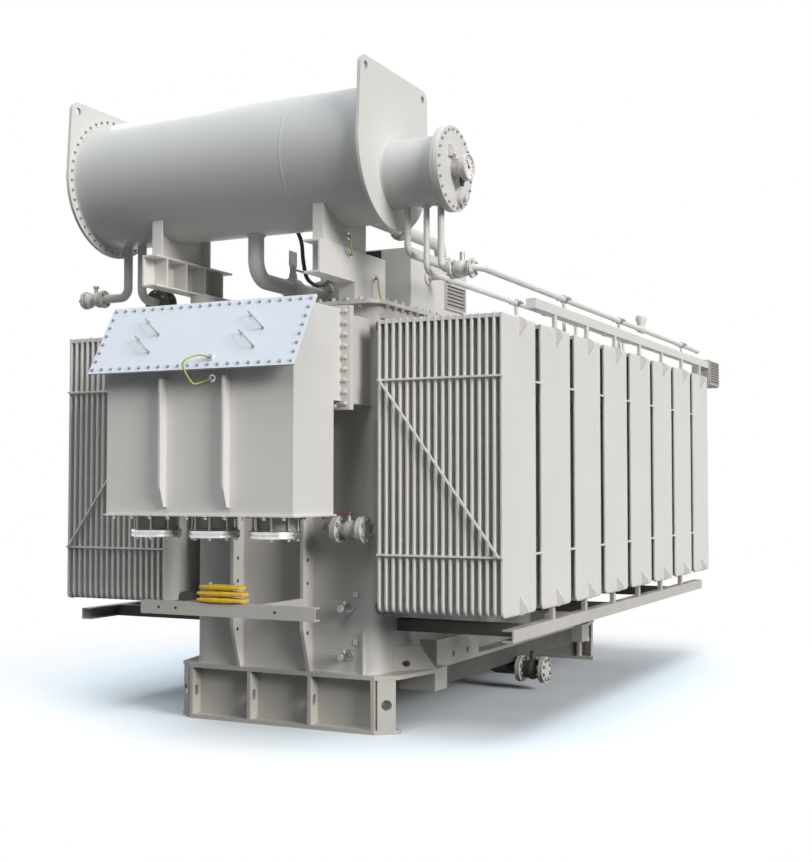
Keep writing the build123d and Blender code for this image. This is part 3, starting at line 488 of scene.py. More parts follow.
def conservator():
    """The drum with its welds, and the bolts round its left end plate."""
    length = drum_high.y - drum_low.y
    seam = length * SEAM_SHARE
    r = DRUM_RADIUS
    profile = [(0, r + BEAD), (0.005, r + BEAD * 0.7), (0.011, r), (0.016, r), (seam - 0.011, r)]
    profile += [(seam - 0.006, r), (seam - 0.003, r + SEAM_RISE), (seam + 0.003, r + SEAM_RISE)]
    profile += [(seam + 0.006, r), (seam + 0.011, r), (length - 0.016, r), (length - 0.011, r)]
    profile += [(length - 0.005, r + BEAD * 0.7), (length, r + BEAD)]
    drum = Shape()
    drum.lathe((DRUM_X, drum_low.y, DRUM_Z), LEFT, profile, 144)
    drum.piece("conservator_drum", [DRUM], ["conservator_shell"])

    plate_low, plate_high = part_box("conservator_plate_left")
    rim = Shape()
    for face, way in ((plate_low.y, RIGHT), (plate_high.y, LEFT)):
        rim.bolt_ring((DRUM_X, face, DRUM_Z), way, DRUM_RADIUS + END_BOLT_REACH, END_BOLTS, END_BOLT)
    rim.piece("end_plate_bolts", [BOLT])


def chamber():
    """The tap changer's chamber with its flange, cover bolts and bosses."""
    cover, cover_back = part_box("chamber_cover")
    radius = (chamber_high.x - chamber_low.x) / 2
    flange = (cover_back.x - cover.x) / 2
    middle_z = (chamber_low.z + chamber_high.z) / 2
    length = chamber_high.y - chamber_low.y
    shell = Shape()
    profile = [(0, radius + BEAD), (0.004, radius + BEAD * 0.6), (0.009, radius), (0.014, radius)]
    profile += [(length - 0.037, radius), (length - 0.032, radius), (length - 0.026, radius + 0.004)]
    profile += [(length - 0.022, flange - 0.002), (length - CHAMBER_FLANGE, flange)]
    profile += [(length - 0.002, flange), (length, flange - 0.003)]
    shell.lathe((DRUM_X, chamber_high.y, middle_z), RIGHT, profile, 96)
    shell.piece("chamber_drum", [DRUM], ["chamber_shell"])

    fittings = Shape()
    for face, way in ((cover.y, RIGHT), (cover_back.y + CHAMBER_FLANGE, LEFT)):
        ring = flange - CHAMBER_BOLT_INSET
        fittings.bolt_ring((DRUM_X, face, middle_z), way, ring, CHAMBER_BOLTS, CHAMBER_BOLT)
    plug = Vector((DRUM_X + BOSS_SIDE, cover.y, middle_z - 0.165))
    fittings.disc(plug, RIGHT, 0.036, 0.026, 24, 1)
    fittings.bolt(plug + RIGHT * 0.026, RIGHT, 0.034, 1)
    boss = facing((DRUM_X - BOSS_SIDE, cover.y, middle_z + 0.085), REAR, UP)
    fittings.box((-0.030, -0.030, 0), (0.030, 0.038, 0.024), 1, boss)
    fittings.box((-0.022, -0.022, 0.024), (0.022, 0.030, 0.034), 1, boss)
    fittings.piece("chamber_fittings", [BOLT, PANEL])


def gauge():
    """The oil level gauge: cast case, bezel, white dial with plain marks and a red pointer."""
    low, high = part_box("oil_gauge")
    radius = (high.x - low.x) / 2
    depth = high.y - low.y
    middle = Vector((DRUM_X, high.y, (low.z + high.z) / 2))
    case = Shape()
    profile = [(0, radius * 0.74), (depth * 0.5, radius * 0.74), (depth * 0.58, radius * 0.9)]
    profile += [(depth * 0.62, radius * 0.98), (depth * 0.7, radius), (depth * 0.96, radius)]
    profile += [(depth, radius * 0.95), (depth, radius * 0.86), (depth * 0.92, radius * 0.83)]
    case.lathe(middle, RIGHT, profile, 64)
    face = middle + RIGHT * depth * 0.92
    case.lathe(face, RIGHT, [(0, radius * 0.825), (0.001, radius * 0.825)], 48, 1)
    dial = facing(middle + RIGHT * (depth * 0.92 + 0.001), REAR, UP)
    for i in range(DIAL_MARKS):
        turn = Matrix.Rotation(math.radians(135 - 27 * i), 4, "Z")
        ink = 3 if i in (0, DIAL_MARKS - 1) else 2
        case.box((-0.0022, radius * 0.6, 0), (0.0022, radius * 0.78, 0.001), ink, dial @ turn)
    pointer = dial @ Matrix.Rotation(math.radians(38), 4, "Z")
    case.box((-0.0035, -radius * 0.18, 0.001), (0.0035, radius * 0.58, 0.0028), 3, pointer)
    case.disc(face, RIGHT, 0.009, 0.006, 20, 2, 0.001)
    gland = middle + Vector((0, -depth * 0.5, -radius * 0.7))
    case.lathe(gland, DOWN, [(0, 0.016), (0.03, 0.016), (0.034, 0.012), (0.052, 0.011)], 20, 2)
    case.piece("level_gauge", [GREY, DIAL, BLACK_RUBBER_AND_SHADE, RED], ["oil_gauge"])


conservator()
chamber()
gauge()

# Pipes of the conservator, the gas relay and the pipes along the right bank

PIPE_SIDES = 24
RELAY_PIPE = 0.050
BREATHER_PIPE = 0.029
DROP_PIPE = 0.020
CONDUIT = 0.018
TAP_PIPE = 0.042
VALVE_FLANGE = 0.058
FLANGE_PLATE = 0.018
FILTER_FLANGE = 0.088
RELAY_FLANGE, RELAY_PLATE = 0.105, 0.026
HOSE = 0.013
CLAMP_HALF, CLAMP_WALL = 0.016, 0.007
OIL_STEP, OIL_HEIGHT, CONDUIT_HEIGHT = 0.248, 2.708, 2.705
BREATHER_FLANGES, BREATHER_BALLS, BREATHER_STEM = (1.312, 1.462), (1.332, 1.41), 1.39
FILTER_FLANGES, FILTER_BODY = (-1.995, -1.905), -1.975
OIL_DOME_X, OIL_SLEEVE_X = 1.113, 1.06
CONDUIT_JOINTS = (-1.85, -0.2, 1.2)


def add_flange(shape, centre, axis, radius, thickness, bolts, size):
    """A pipe flange: two plates with a gasket line and bolts on both faces."""
    half = thickness / 2
    shape.disc(centre, axis, radius, half - 0.001, 40)
    middle = Vector(centre) + Vector(axis) * (half + 0.001)
    shape.disc(middle, axis, radius, half - 0.001, 40)
    gasket = radius - 0.008
    shape.lathe(centre, axis, [(0.003, gasket), (thickness - 0.003, gasket)], 32, 1)
    far = Vector(centre) + Vector(axis) * thickness
    shape.bolt_ring(far, axis, radius * 0.76, bolts, size, 1)
    shape.bolt_ring(centre, -Vector(axis), radius * 0.76, bolts, size, 1)


def conservator_pipework():
    """Pipes from the drum to the relay, the breathers, the turret and the tap changer."""
    reach_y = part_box("conservator_pipes")[1].y
    bottom = DRUM_BOTTOM + PIPE_INSET
    pipes = Shape()
    run = [(DRUM_X, RELAY_Y, bottom), (DRUM_X, RELAY_Y, RELAY_Z), (relay_low.x, RELAY_Y, RELAY_Z)]
    pipes.tube(pipe_path(run, 0.125, 12), RELAY_PIPE, 32)
    pipes.disc((DRUM_X, RELAY_Y, bottom - 0.012), UP, RELAY_PIPE + 0.008, 0.014, 32)

    # Outer breather with its pair of valves and plug, and the inner one that runs back
    outer_y, inner_y, outer_z = 1.124, 1.012, 2.697
    run = [(DRUM_X, outer_y, bottom), (DRUM_X, outer_y, outer_z), (DRUM_X, reach_y - 0.05, outer_z)]
    pipes.tube(pipe_path(run, 0.064, 10), BREATHER_PIPE, PIPE_SIDES)
    tip = [(0, BREATHER_PIPE), (0.02, 0.027), (0.05, 0.008)]
    pipes.lathe((DRUM_X, reach_y - 0.05, outer_z), LEFT, tip, 24)
    for y in BREATHER_FLANGES:
        add_flange(pipes, (DRUM_X, y, outer_z), LEFT, VALVE_FLANGE, FLANGE_PLATE, 4, 0.015)
    ball = [(0, 0.03), (0.012, 0.046), (0.03, 0.054), (0.048, 0.046), (0.06, 0.03)]
    for y in BREATHER_BALLS:
        pipes.lathe((DRUM_X, y, outer_z), LEFT, ball, 24)
    stem = [(0, 0.013), (0.03, 0.013), (0.032, 0.02), (0.045, 0.02)]
    pipes.lathe((DRUM_X, BREATHER_STEM, outer_z + 0.045), UP, stem, 16, 1)
    inner_z = outer_z - 0.020
    run = [(DRUM_X, inner_y, bottom), (DRUM_X, inner_y, inner_z), (tank_low.x + 0.2, inner_y, inner_z)]
    pipes.tube(pipe_path(run, 0.07, 10), BREATHER_PIPE, PIPE_SIDES)
    # The filter's flanges and body take the near-black painted shade in slot 2.
    for x in FILTER_FLANGES:
        pipes.disc((x, inner_y, inner_z), REAR, FILTER_FLANGE, 0.022, 40, 2)
        pipes.bolt_ring((x, inner_y, inner_z), FRONT, FILTER_FLANGE * 0.78, 6, 0.016, 1)
    pipes.lathe((FILTER_BODY, inner_y, inner_z), REAR, [(0, 0.06), (0.07, 0.06)], 32, 2)

    # The vent pipe down to the turret, and the tap changer's oil pipe on to the turret's top
    vent_y, vent_z, vent_x = -0.912, 2.822, -1.300
    run = [(DRUM_X, vent_y, CHAMBER_BOTTOM), (DRUM_X, vent_y, vent_z), (vent_x, vent_y, vent_z)]
    run.append((vent_x, turret_low.y, vent_z))
    pipes.tube(pipe_path(run, 0.06, 8), DROP_PIPE, PIPE_SIDES)
    pipes.disc((vent_x, turret_low.y, vent_z), RIGHT, 0.045, 0.014, 32)
    tap_y, tap_z, tap_x = -0.560, 3.100, -0.920
    inside = math.sqrt(DRUM_RADIUS**2 - (DRUM_Z - tap_z) ** 2) - 0.02
    run = [(DRUM_X + inside, tap_y, tap_z), (tap_x, tap_y, tap_z), (tap_x, tap_y, turret_high.z)]
    pipes.tube(pipe_path(run, 0.065, 8), TAP_PIPE, 28)
    add_flange(pipes, (tap_x, tap_y, turret_high.z), UP, 0.075, 0.03, 6, 0.016)
    add_flange(pipes, (-1.55, tap_y, tap_z), REAR, 0.068, 0.03, 6, 0.015)
    pipes.piece("conservator_pipework", [GREY, BOLT, PAINTED_SHADE], ["conservator_pipes"])


def gas_relay():
    """The relay between its flanges, with sight glass, lever and the shut-off valve before it."""
    x, y, z = relay_low.x, RELAY_Y, RELAY_Z
    length = relay_high.x - x
    relay = Shape()
    for flange_x in (x, relay_high.x - RELAY_PLATE):
        add_flange(relay, (flange_x, y, z), REAR, RELAY_FLANGE, RELAY_PLATE, 8, 0.018)
    body = [(RELAY_PLATE, 0.05), (0.05, 0.056), (0.075, 0.078), (0.16, 0.078), (0.168, 0.07)]
    body += [(0.185, 0.07), (0.195, 0.078), (0.215, 0.078), (0.222, 0.066), (0.262, 0.066)]
    body += [(0.27, 0.058), (length - RELAY_PLATE, 0.05)]
    relay.lathe((x, y, z), REAR, body, 48, 2)
    sight = [(0.07, 0.034), (0.088, 0.034), (0.088, 0.026), (0.08, 0.025)]
    relay.lathe((x + 0.118, y, z), RIGHT, sight, 28, 2)
    neck = [(0.06, 0.045), (0.10, 0.045), (0.103, 0.05), (0.118, 0.05)]
    relay.lathe((x + 0.118, y, z), UP, neck, 28)
    relay.box((x + 0.075, y - 0.045, z + 0.118), (x + 0.161, y + 0.045, z + 0.16))
    foot = [(0, 0.085), (0.016, 0.085), (0.018, 0.05), (z - cover_high.z, 0.05)]
    relay.lathe(((x + relay_high.x) / 2, y, cover_high.z), UP, foot, 32)

    # Shut-off valve on the pipe: body, stem, red lever and its cream position plate
    valve_x = x - 0.36
    body = [(0, 0.054), (0.012, 0.068), (0.088, 0.068), (0.1, 0.054)]
    relay.lathe((valve_x - 0.05, y, z), REAR, body, 32)
    stem = [(0, 0.03), (0.05, 0.026), (0.052, 0.018), (0.1, 0.018)]
    relay.lathe((valve_x, y, z + 0.05), UP, stem, 20, 1)
    relay.box((valve_x - 0.045, y - 0.004, z + 0.145), (valve_x + 0.045, y + 0.004, z + 0.245), 4)
    relay.box((valve_x - 0.02, y - 0.012, z + 0.1), (valve_x + 0.02, y + 0.012, z + 0.15), 1)
    relay.box((valve_x + 0.02, y - 0.011, z + 0.125), (valve_x + 0.2, y + 0.011, z + 0.133), 3)
    relay.piece("gas_relay_fitting", [GREY, BOLT, CHROME, RED, DIAL], ["gas_relay"])

    # Signal hose from the drum to the relay, and one from the chamber to the turret
    hose = Shape()
    top = DRUM_BOTTOM + 0.10
    run = [(-1.87, 0.02, top), (-1.825, 0.0, 3.02), (-1.80, 0.0, 2.90), (-1.71, 0.02, 2.80)]
    run += [(-1.50, 0.05, 2.79), (x + 0.09, y - 0.04, z + 0.14)]
    hose.tube(smooth_path(run), HOSE, 14)
    run = [(-1.95, -0.86, 3.27), (-1.75, -0.80, 3.27), (-1.62, -0.72, 3.21), (-1.59, -0.66, 3.12)]
    run += [(-1.53, -0.61, 3.05), (-1.50, -0.59, 2.98)]
    hose.tube(smooth_path(run), HOSE, 14)
    hose.piece("signal_hoses", [BLACK_RUBBER_AND_SHADE])


def clamp(shape, centre, radius):
    """A saddle clamp round a pipe that runs along X, with a bolt on each ear."""
    x, y, z = centre
    half, outside = CLAMP_HALF, radius + CLAMP_WALL
    shape.lathe(centre, REAR, [(-half, radius), (-half, outside), (half, outside), (half, radius)], 28, 1)
    for way in (-1, 1):
        ear = y + way * (radius + 0.016)
        shape.box((x - half, ear - 0.014, z - 0.006), (x + half, ear + 0.014, z + 0.004), 1)
        shape.bolt((x, ear, z + 0.004), UP, 0.014, 1)


def right_pipes():
    """The oil pipe with its valve and the conduit, on stands over the radiators."""
    bank_low, bank_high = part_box("radiators_right_front")
    first_middle = bank_low.x + PANEL_WIDTH / 2
    for node, stands, radius, drop_y in (
        ("oil_pipe_right", (2, 4, 7), DROP_PIPE, -1.127),
        ("conduit_right", (2, 4, 6), CONDUIT, -1.035),
    ):
        end_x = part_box(node)[1].x
        pipe = Shape()
        with_valve = node == "oil_pipe_right"
        run_y = drop_y - OIL_STEP if with_valve else drop_y
        run_z = OIL_HEIGHT if with_valve else CONDUIT_HEIGHT
        run = [(DRUM_X, drop_y, CHAMBER_BOTTOM), (DRUM_X, drop_y, run_z)]
        if with_valve:
            run.append((DRUM_X, run_y, run_z))
        run.append((end_x - 0.02, run_y, run_z))
        pipe.tube(pipe_path(run, 0.058, 10), radius, PIPE_SIDES)
        pipe.disc((end_x - 0.022, run_y, run_z), REAR, radius + 0.004, 0.022, 24)
        pipe.disc((DRUM_X, drop_y, CHAMBER_BOTTOM - 0.012), UP, radius + 0.012, 0.012, 24)
        for i in stands:
            x = first_middle + RADIATOR_PITCH * i
            pipe.box((x - 0.02, run_y - 0.006, bank_high.z), (x + 0.02, run_y + 0.006, run_z - radius))
            pipe.box((x - 0.03, run_y - 0.04, bank_high.z), (x + 0.03, run_y + 0.04, bank_high.z + 0.008))
            clamp(pipe, (x, run_y, run_z), radius)
        if with_valve:
            for reach in (0.063, 0.185):
                seat = (DRUM_X, drop_y - reach, run_z)
                add_flange(pipe, seat, RIGHT, VALVE_FLANGE, FLANGE_PLATE, 4, 0.016)
            body = [(0, 0.03), (0.02, 0.044), (0.052, 0.05), (0.084, 0.044), (0.104, 0.03)]
            pipe.lathe((DRUM_X, drop_y - 0.081, run_z), RIGHT, body, 28)
            stem = [(0, 0.016), (0.04, 0.014), (0.055, 0.014)]
            pipe.lathe((DRUM_X, drop_y - 0.133, run_z + 0.04), UP, stem, 16, 1)
            dome = [(0, 0.024), (0.03, 0.03), (0.075, 0.046), (0.1, 0.042), (0.115, 0.026), (0.12, 0.008)]
            pipe.lathe((OIL_DOME_X, run_y, run_z + 0.005), UP, dome, 28)
            sleeve = [(0, 0.026), (0.012, 0.03), (0.1, 0.03), (0.112, 0.026)]
            pipe.lathe((OIL_SLEEVE_X, run_y, run_z), REAR, sleeve, 28)
        else:
            coupling = [(0, 0.02), (0.006, 0.024), (0.05, 0.024), (0.056, 0.02)]
            for x in CONDUIT_JOINTS:
                pipe.lathe((x, run_y, run_z), REAR, coupling, 20)
        pipe.piece(node.replace("_right", "_along_bank"), [PANEL, BOLT], [node])


conservator_pipework()
gas_relay()
right_pipes()

# Cable boxes: bolted lids with grab handles, glands, cleat and the bolts of the necks

LID_SLOPE = Vector((0.133, 0, 0.224)).normalized()
LID_THICKNESS = 0.012
LID_BOLT_INSET = 0.026
LID_BOLTS_LONG = 21
LID_BOLTS_SHORT = 8
LID_BOLT = 0.015
HANDLE_MIDDLES = (0.352, -0.350)
HANDLE_STEPS = ((0.304, -0.010), (0.180, 0.010))
HANDLE_REACH = (0.048, 0.055)
HANDLE_LIFT, HANDLE_ROOT, HANDLE_BAR = 0.042, -0.002, 0.0045
LEAD, LEAD_LUG, LEAD_GAP = 0.0055, 0.0075, 0.012


def lid_axes():
    """Axes on the front lid: X up its slope from the bottom edge, Y across to the left, Z outwards."""
    low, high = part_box("cable_box_front_lid")
    out = LID_SLOPE.cross(LEFT)
    edge = Vector((low.x, 0, low.z + LID_THICKNESS * out.z))
    return facing(edge, LID_SLOPE, LEFT), (high.z - low.z - LID_THICKNESS * out.z) / LID_SLOPE.z, high.y


def lid_fittings():
    """Bolts round both lids and two pairs of bent-bar handles on each."""
    place, length, half = lid_axes()
    out = place.to_3x3() @ UP

    def on_lid(up_slope, across, lift=0.0):
        return place @ Vector((up_slope, across, lift))

    fittings = Shape()
    side = half - LID_BOLT_INSET
    for up_slope in (LID_BOLT_INSET, length - LID_BOLT_INSET):
        fittings.bolt_row(on_lid(up_slope, -side), on_lid(up_slope, side), LID_BOLTS_LONG, out, LID_BOLT)
    step = (length - 2 * LID_BOLT_INSET) / (LID_BOLTS_SHORT - 1)
    for way in (-1, 1):
        first = on_lid(LID_BOLT_INSET + step, way * side)
        last = on_lid(length - LID_BOLT_INSET - step, way * side)
        fittings.bolt_row(first, last, LID_BOLTS_SHORT - 2, out, LID_BOLT)
    for middle in HANDLE_MIDDLES:
        for up_slope, shift in HANDLE_STEPS:
            top = (up_slope + HANDLE_REACH[0], middle + shift + HANDLE_REACH[1])
            foot = (up_slope - HANDLE_REACH[0], middle + shift - HANDLE_REACH[1])
            bar = [on_lid(*top, HANDLE_ROOT), on_lid(*top, HANDLE_LIFT)]
            bar += [on_lid(*foot, HANDLE_LIFT), on_lid(*foot, HANDLE_ROOT)]
            fittings.tube(pipe_path(bar, 0.014, 6), HANDLE_BAR, 12)
            for end in (top, foot):
                fittings.disc(on_lid(*end), out, 0.010, 0.004, 16, 0, 0.001)
    fittings.mirror()
    fittings.piece("lid_fittings", [BOLT])


def add_strap(shape, points, first_way, last_way):
    """A yellow-green bonding lead with a dark crimped lug and a bolt at each end."""
    path = smooth_path(points)
    shape.tube(path, LEAD, 12)
    for end, inward, way in ((path[0], path[3], first_way), (path[-1], path[-4], last_way)):
        shape.tube([end, end.lerp(inward, 0.5), inward], LEAD_LUG, 12, 1)
        seat = end - Vector(way) * LEAD_GAP
        shape.disc(seat, way, 0.022, 0.008, 20, 2, 0.001)
        shape.bolt(seat + Vector(way) * 0.008, way, 0.019, 1)


def bonding_straps():
    """Leads that bond the lid to the box, the saddle to its beam and the beam to the cover."""
    place = lid_axes()[0]
    out = place.to_3x3() @ UP
    box_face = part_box("cable_box_front")[0].x + 0.060
    straps = Shape()
    lead = [place @ Vector((0.072, -0.140, LEAD_GAP)), place @ Vector((0.060, -0.070, 0.045))]
    lead += [place @ Vector((0.000, -0.010, 0.055)), (box_face - 0.085, -0.020, 2.040)]
    lead += [(box_face - 0.055, -0.045, 2.030), (box_face - LEAD_GAP, -0.107, 2.062)]
    add_strap(straps, lead, out, FRONT)
    beam_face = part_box("saddle_beams")[0].y
    saddle_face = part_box("conservator_saddles")[0].y
    lead = [(-2.115, saddle_face - LEAD_GAP, 2.965), (-2.17, saddle_face - 0.045, 2.955)]
    lead += [(-2.205, beam_face - 0.055, 2.905), (-2.17, beam_face - 0.04, 2.86)]
    lead.append((-2.125, beam_face - LEAD_GAP, 2.85))
    add_strap(straps, lead, RIGHT, RIGHT)
    lead = [(-1.80, beam_face - LEAD_GAP, 2.755), (-1.84, beam_face - 0.045, 2.74)]
    lead += [(-1.86, beam_face - 0.06, 2.68), (-1.83, beam_face - 0.06, 2.62)]
    lead.append((-1.79, beam_face - 0.05, 2.596))
    add_strap(straps, lead, RIGHT, UP)
    straps.piece("bonding_straps", [STRAP, BOLT, STEEL])


GLAND_NECK = 0.112
GLAND_RING = 0.044
GLAND_RADIUS = 0.145
GLANDS_A_BOX = 3
GLAND_RODS, GLAND_ROD, GLAND_ROD_CIRCLE = 8, 0.007, 0.127
GLAND_BOLT = 0.018


def cable_glands():
    """Glands under both boxes: a sleeve with clamp rods and a bright bolted ring."""
    low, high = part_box("cable_glands")
    radius, groove = GLAND_RADIUS, GLAND_RADIUS - 0.006
    pitch = (high.y - low.y - 2 * radius) / (GLANDS_A_BOX - 1)
    x = low.x + radius
    glands = Shape()
    height = high.z - low.z
    sleeve_end = height - GLAND_RING
    sleeve = [(0, GLAND_NECK + 0.012), (0.012, GLAND_NECK + 0.012), (0.014, GLAND_NECK)]
    sleeve += [(sleeve_end - 0.012, GLAND_NECK), (sleeve_end, GLAND_NECK + 0.014)]
    ring = [(0, radius - 0.004), (0.004, radius), (0.018, radius), (0.020, groove)]
    ring += [(0.024, groove), (0.026, radius), (GLAND_RING - 0.004, radius)]
    ring += [(GLAND_RING, radius - 0.005), (GLAND_RING, radius - 0.03)]
    ring.append((GLAND_RING - 0.01, radius - 0.04))
    for i in range(GLANDS_A_BOX):
        y = low.y + radius + pitch * i
        ring_top = Vector((x, y, low.z + GLAND_RING))
        glands.lathe((x, y, high.z), DOWN, sleeve, 48)
        glands.lathe(ring_top, DOWN, ring, 56, 1)
        for rod in circle(ring_top, REAR, LEFT, GLAND_ROD_CIRCLE, GLAND_RODS, 0.5):
            glands.tube([rod, rod + UP * (sleeve_end - 0.002)], GLAND_ROD, 10, 2)
            glands.bolt(rod, UP, GLAND_BOLT, 2)
            glands.bolt(rod + DOWN * GLAND_RING, DOWN, GLAND_BOLT, 2)
    glands.mirror()
    glands.piece("gland_sleeves", [BASE_GREY, STEEL, BOLT], ["cable_glands"])


CLEAT_BARS = 3
CLEAT_STEPS = 24
CLEAT_SIDES = 16
CLEAT_SQUARENESS = 0.45
CLEAT_STUDS = (0.22, 0.78)


def squared(value):
    """A sine or cosine pushed towards its ends, which makes a circle squarer."""
    return math.copysign(abs(value) ** CLEAT_SQUARENESS, value)


def cable_cleat():
    """Three moulded clamp bars stacked on two studs, the top one shorter."""
    low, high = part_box("cable_cleat")
    middle_x, middle_y = (low.x + high.x) / 2, (low.y + high.y) / 2
    pitch = (high.z - low.z) / CLEAT_BARS
    cleat = Shape()
    for i in range(CLEAT_BARS):
        bottom = low.z + pitch * i
        span = (high.y - low.y) * (1.0 if i < CLEAT_BARS - 1 else 0.9)
        rings = []
        for k in range(CLEAT_STEPS + 1):
            share = k / CLEAT_STEPS
            arch = math.sin(math.pi * share) ** 0.5
            swell = 0.5 + 0.5 * arch + 0.06 * math.cos(6 * math.pi * share)
            half_z = (pitch / 2 - 0.002) * min(1.0, swell)
            half_x = (high.x - low.x) / 2 * (0.82 + 0.18 * arch)
            y = middle_y - span / 2 + span * share
            ring = []
            for j in range(CLEAT_SIDES):
                angle = 2 * math.pi * (j + 0.5) / CLEAT_SIDES
                across, above = squared(math.cos(angle)), squared(math.sin(angle))
                ring.append((middle_x + half_x * across, y, bottom + pitch / 2 + half_z * above))
            rings.append(ring)
        cleat.rings(rings[::-1])
    for share in CLEAT_STUDS:
        y = low.y + (high.y - low.y) * share
        cleat.bolt((middle_x, y, high.z - 0.006), UP, 0.022, 1)
    cleat.piece("cleat_bars", [YELLOW, BOLT], ["cable_cleat"], crease=40)


NECK_BOLT, FLOOR_BOLT = 0.022, 0.024
FLOOR_BOLTS_FRONT, FLOOR_BOLTS_REAR = 0.056, -2.522


def neck_and_floor_bolts():
    """Bolts through the neck flanges and under the floors of the cable boxes."""
    low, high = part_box("cable_neck_front")
    box_low, box_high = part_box("cable_box_front")
    floor_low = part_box("cable_glands")[1].z
    bolts = Shape()
    for way in (-1, 1):
        y = way * (high.y - 0.030)
        bolts.bolt_row((low.x, y, low.z + 0.035), (low.x, y, high.z - 0.035), 9, FRONT, NECK_BOLT)
    sill = low.z + 0.02
    bolts.bolt_row((low.x, low.y + 0.1, sill), (low.x, high.y - 0.1, sill), 14, FRONT, NECK_BOLT)
    for x in (box_low.x + FLOOR_BOLTS_FRONT, FLOOR_BOLTS_REAR):
        first, last = (x, box_low.y + 0.07, floor_low), (x, box_high.y - 0.07, floor_low)
        bolts.bolt_row(first, last, 10, DOWN, FLOOR_BOLT, 1)
    bolts.mirror()
    bolts.piece("neck_and_floor_bolts", [GREY, BASE_GREY])


lid_fittings()
bonding_straps()
cable_glands()
cable_cleat()
neck_and_floor_bolts()

# Tank: cover bolts, welds, valves, sampling cocks and small fittings of the end wall

COVER_INSET_END = 0.026
COVER_INSET_SIDE = 0.014
DRAIN_FLANGE = 0.082
DRAIN_PIPE = 0.034
SAMPLER_Y = -0.471
SAMPLER_HEIGHTS = (0.741, 0.455)
COVER_BOLTS_KEPT_OFF = 0.12
BEAM_PLACES = (-0.460, 0.635)
BEAM_BOLTS = (-2.02, -1.70)
TANK_CORNER = 0.085
RIB_HALF, RIB_TOP = 0.012, 1.35
BOX_FACE, BOX_RIB_HALF = -2.947, 0.007
BOX_RIB_PLACES = (-0.212, 0.212)
BOX_RIB_ENDS = (1.346, 2.19)
NECK_FRONT, NECK_HALF = -2.386, 0.615
NECK_ENDS = (1.945, 2.465)
RIB_HOLE_X = -2.095
RIB_HOLE_HEIGHTS = (1.017, 0.876, 0.578)
BAR_HOLE_Z = 0.755
BAR_HOLE_PLACES = (0.465, 0.343, -0.337)
LEVER_WIDTHS = ((0.0, 0.010), (0.25, 0.008), (0.4, 0.008), (0.5, 0.010))
LEVER_WIDTHS += ((0.9, 0.011), (0.97, 0.009), (1.0, 0.005))
SLAT_TILT = 0.6


def cover_bolts():
    """Bolts round the tank cover, heads above and nuts below."""
    bolts = Shape()
    reach = COVER_BOLTS_KEPT_OFF
    x_end = cover_low.x + COVER_INSET_END
    y_side = cover_high.y - COVER_INSET_SIDE
    for face, way in ((cover_high.z, UP), (cover_low.z, DOWN)):
        bolts.bolt_row((x_end, reach - y_side, face), (x_end, y_side - reach, face), 13, way, 0.026)
        for side in (-1, 1):
            first = (x_end + reach, side * y_side, face)
            bolts.bolt_row(first, (TANK_MIDDLE - 0.05, side * y_side, face), 18, way, 0.024)
    bolts.mirror()
    for beam_y in BEAM_PLACES:
        for x in BEAM_BOLTS:
            for side in (-0.075, 0.075):
                bolts.bolt((x, beam_y + side, cover_high.z), UP, 0.030)
    bolts.piece("cover_bolts", [GREY])


def weld_beads():
    """Fillet welds round the tank's foot, and along the ribs and necks of the ends."""
    beads = Shape()
    x, y, z = tank_high.x - TANK_MIDDLE, tank_high.y, deck_high.z + 0.002
    foot = [(-x, 0, z), (-x, -y, z), (x, -y, z), (x, y, z), (-x, y, z), (-x, 0, z)]
    foot = [(px + TANK_MIDDLE, py, pz) for px, py, pz in foot]
    beads.tube(pipe_path(foot, TANK_CORNER, 10), 0.006, 8)
    edges = Shape()
    for way in (-1, 1):
        for rib_y in RIB_PLACES:
            root = (tank_low.x, rib_y + way * RIB_HALF)
            edges.tube([(*root, end) for end in (z, RIB_TOP)], 0.005, 8)
        for rib_y in BOX_RIB_PLACES:
            root = (BOX_FACE, rib_y + way * BOX_RIB_HALF)
            edges.tube([(*root, end) for end in BOX_RIB_ENDS], 0.004, 8)
        for root_x, bead in ((tank_low.x, 0.006), (NECK_FRONT, 0.005)):
            edges.tube([(root_x, way * NECK_HALF, end) for end in NECK_ENDS], bead, 8)
    edges.mirror()
    beads.add(edges.points, edges.faces)
    beads.piece("weld_beads", [GREY])


def drain_valve(shape):
    """The ball valve on the front wall: stub, bolted flanges, body and blank."""
    x, y, z, wall_y = -2.150, -0.530, 1.205, -0.355
    stub = [(tank_low.x + 0.01, wall_y, z), (x, wall_y, z), (x, y, z)]
    shape.tube(pipe_path(stub, 0.05, 10), DRAIN_PIPE, PIPE_SIDES)
    shape.disc((tank_low.x, wall_y, z), FRONT, 0.052, 0.012, 32)
    for flange_y in (-0.435, -0.605):
        add_flange(shape, (x, flange_y, z), RIGHT, DRAIN_FLANGE, 0.040, 6, 0.022)
    body = [(0, 0.036), (0.03, 0.044), (0.05, 0.058), (0.08, 0.058), (0.10, 0.044), (0.13, 0.036)]
    shape.lathe((x, -0.475, z), RIGHT, body, 36)
    shape.lathe((x, y, z), UP, [(0.045, 0.024), (0.07, 0.018), (0.0855, 0.018)], 24, 1)


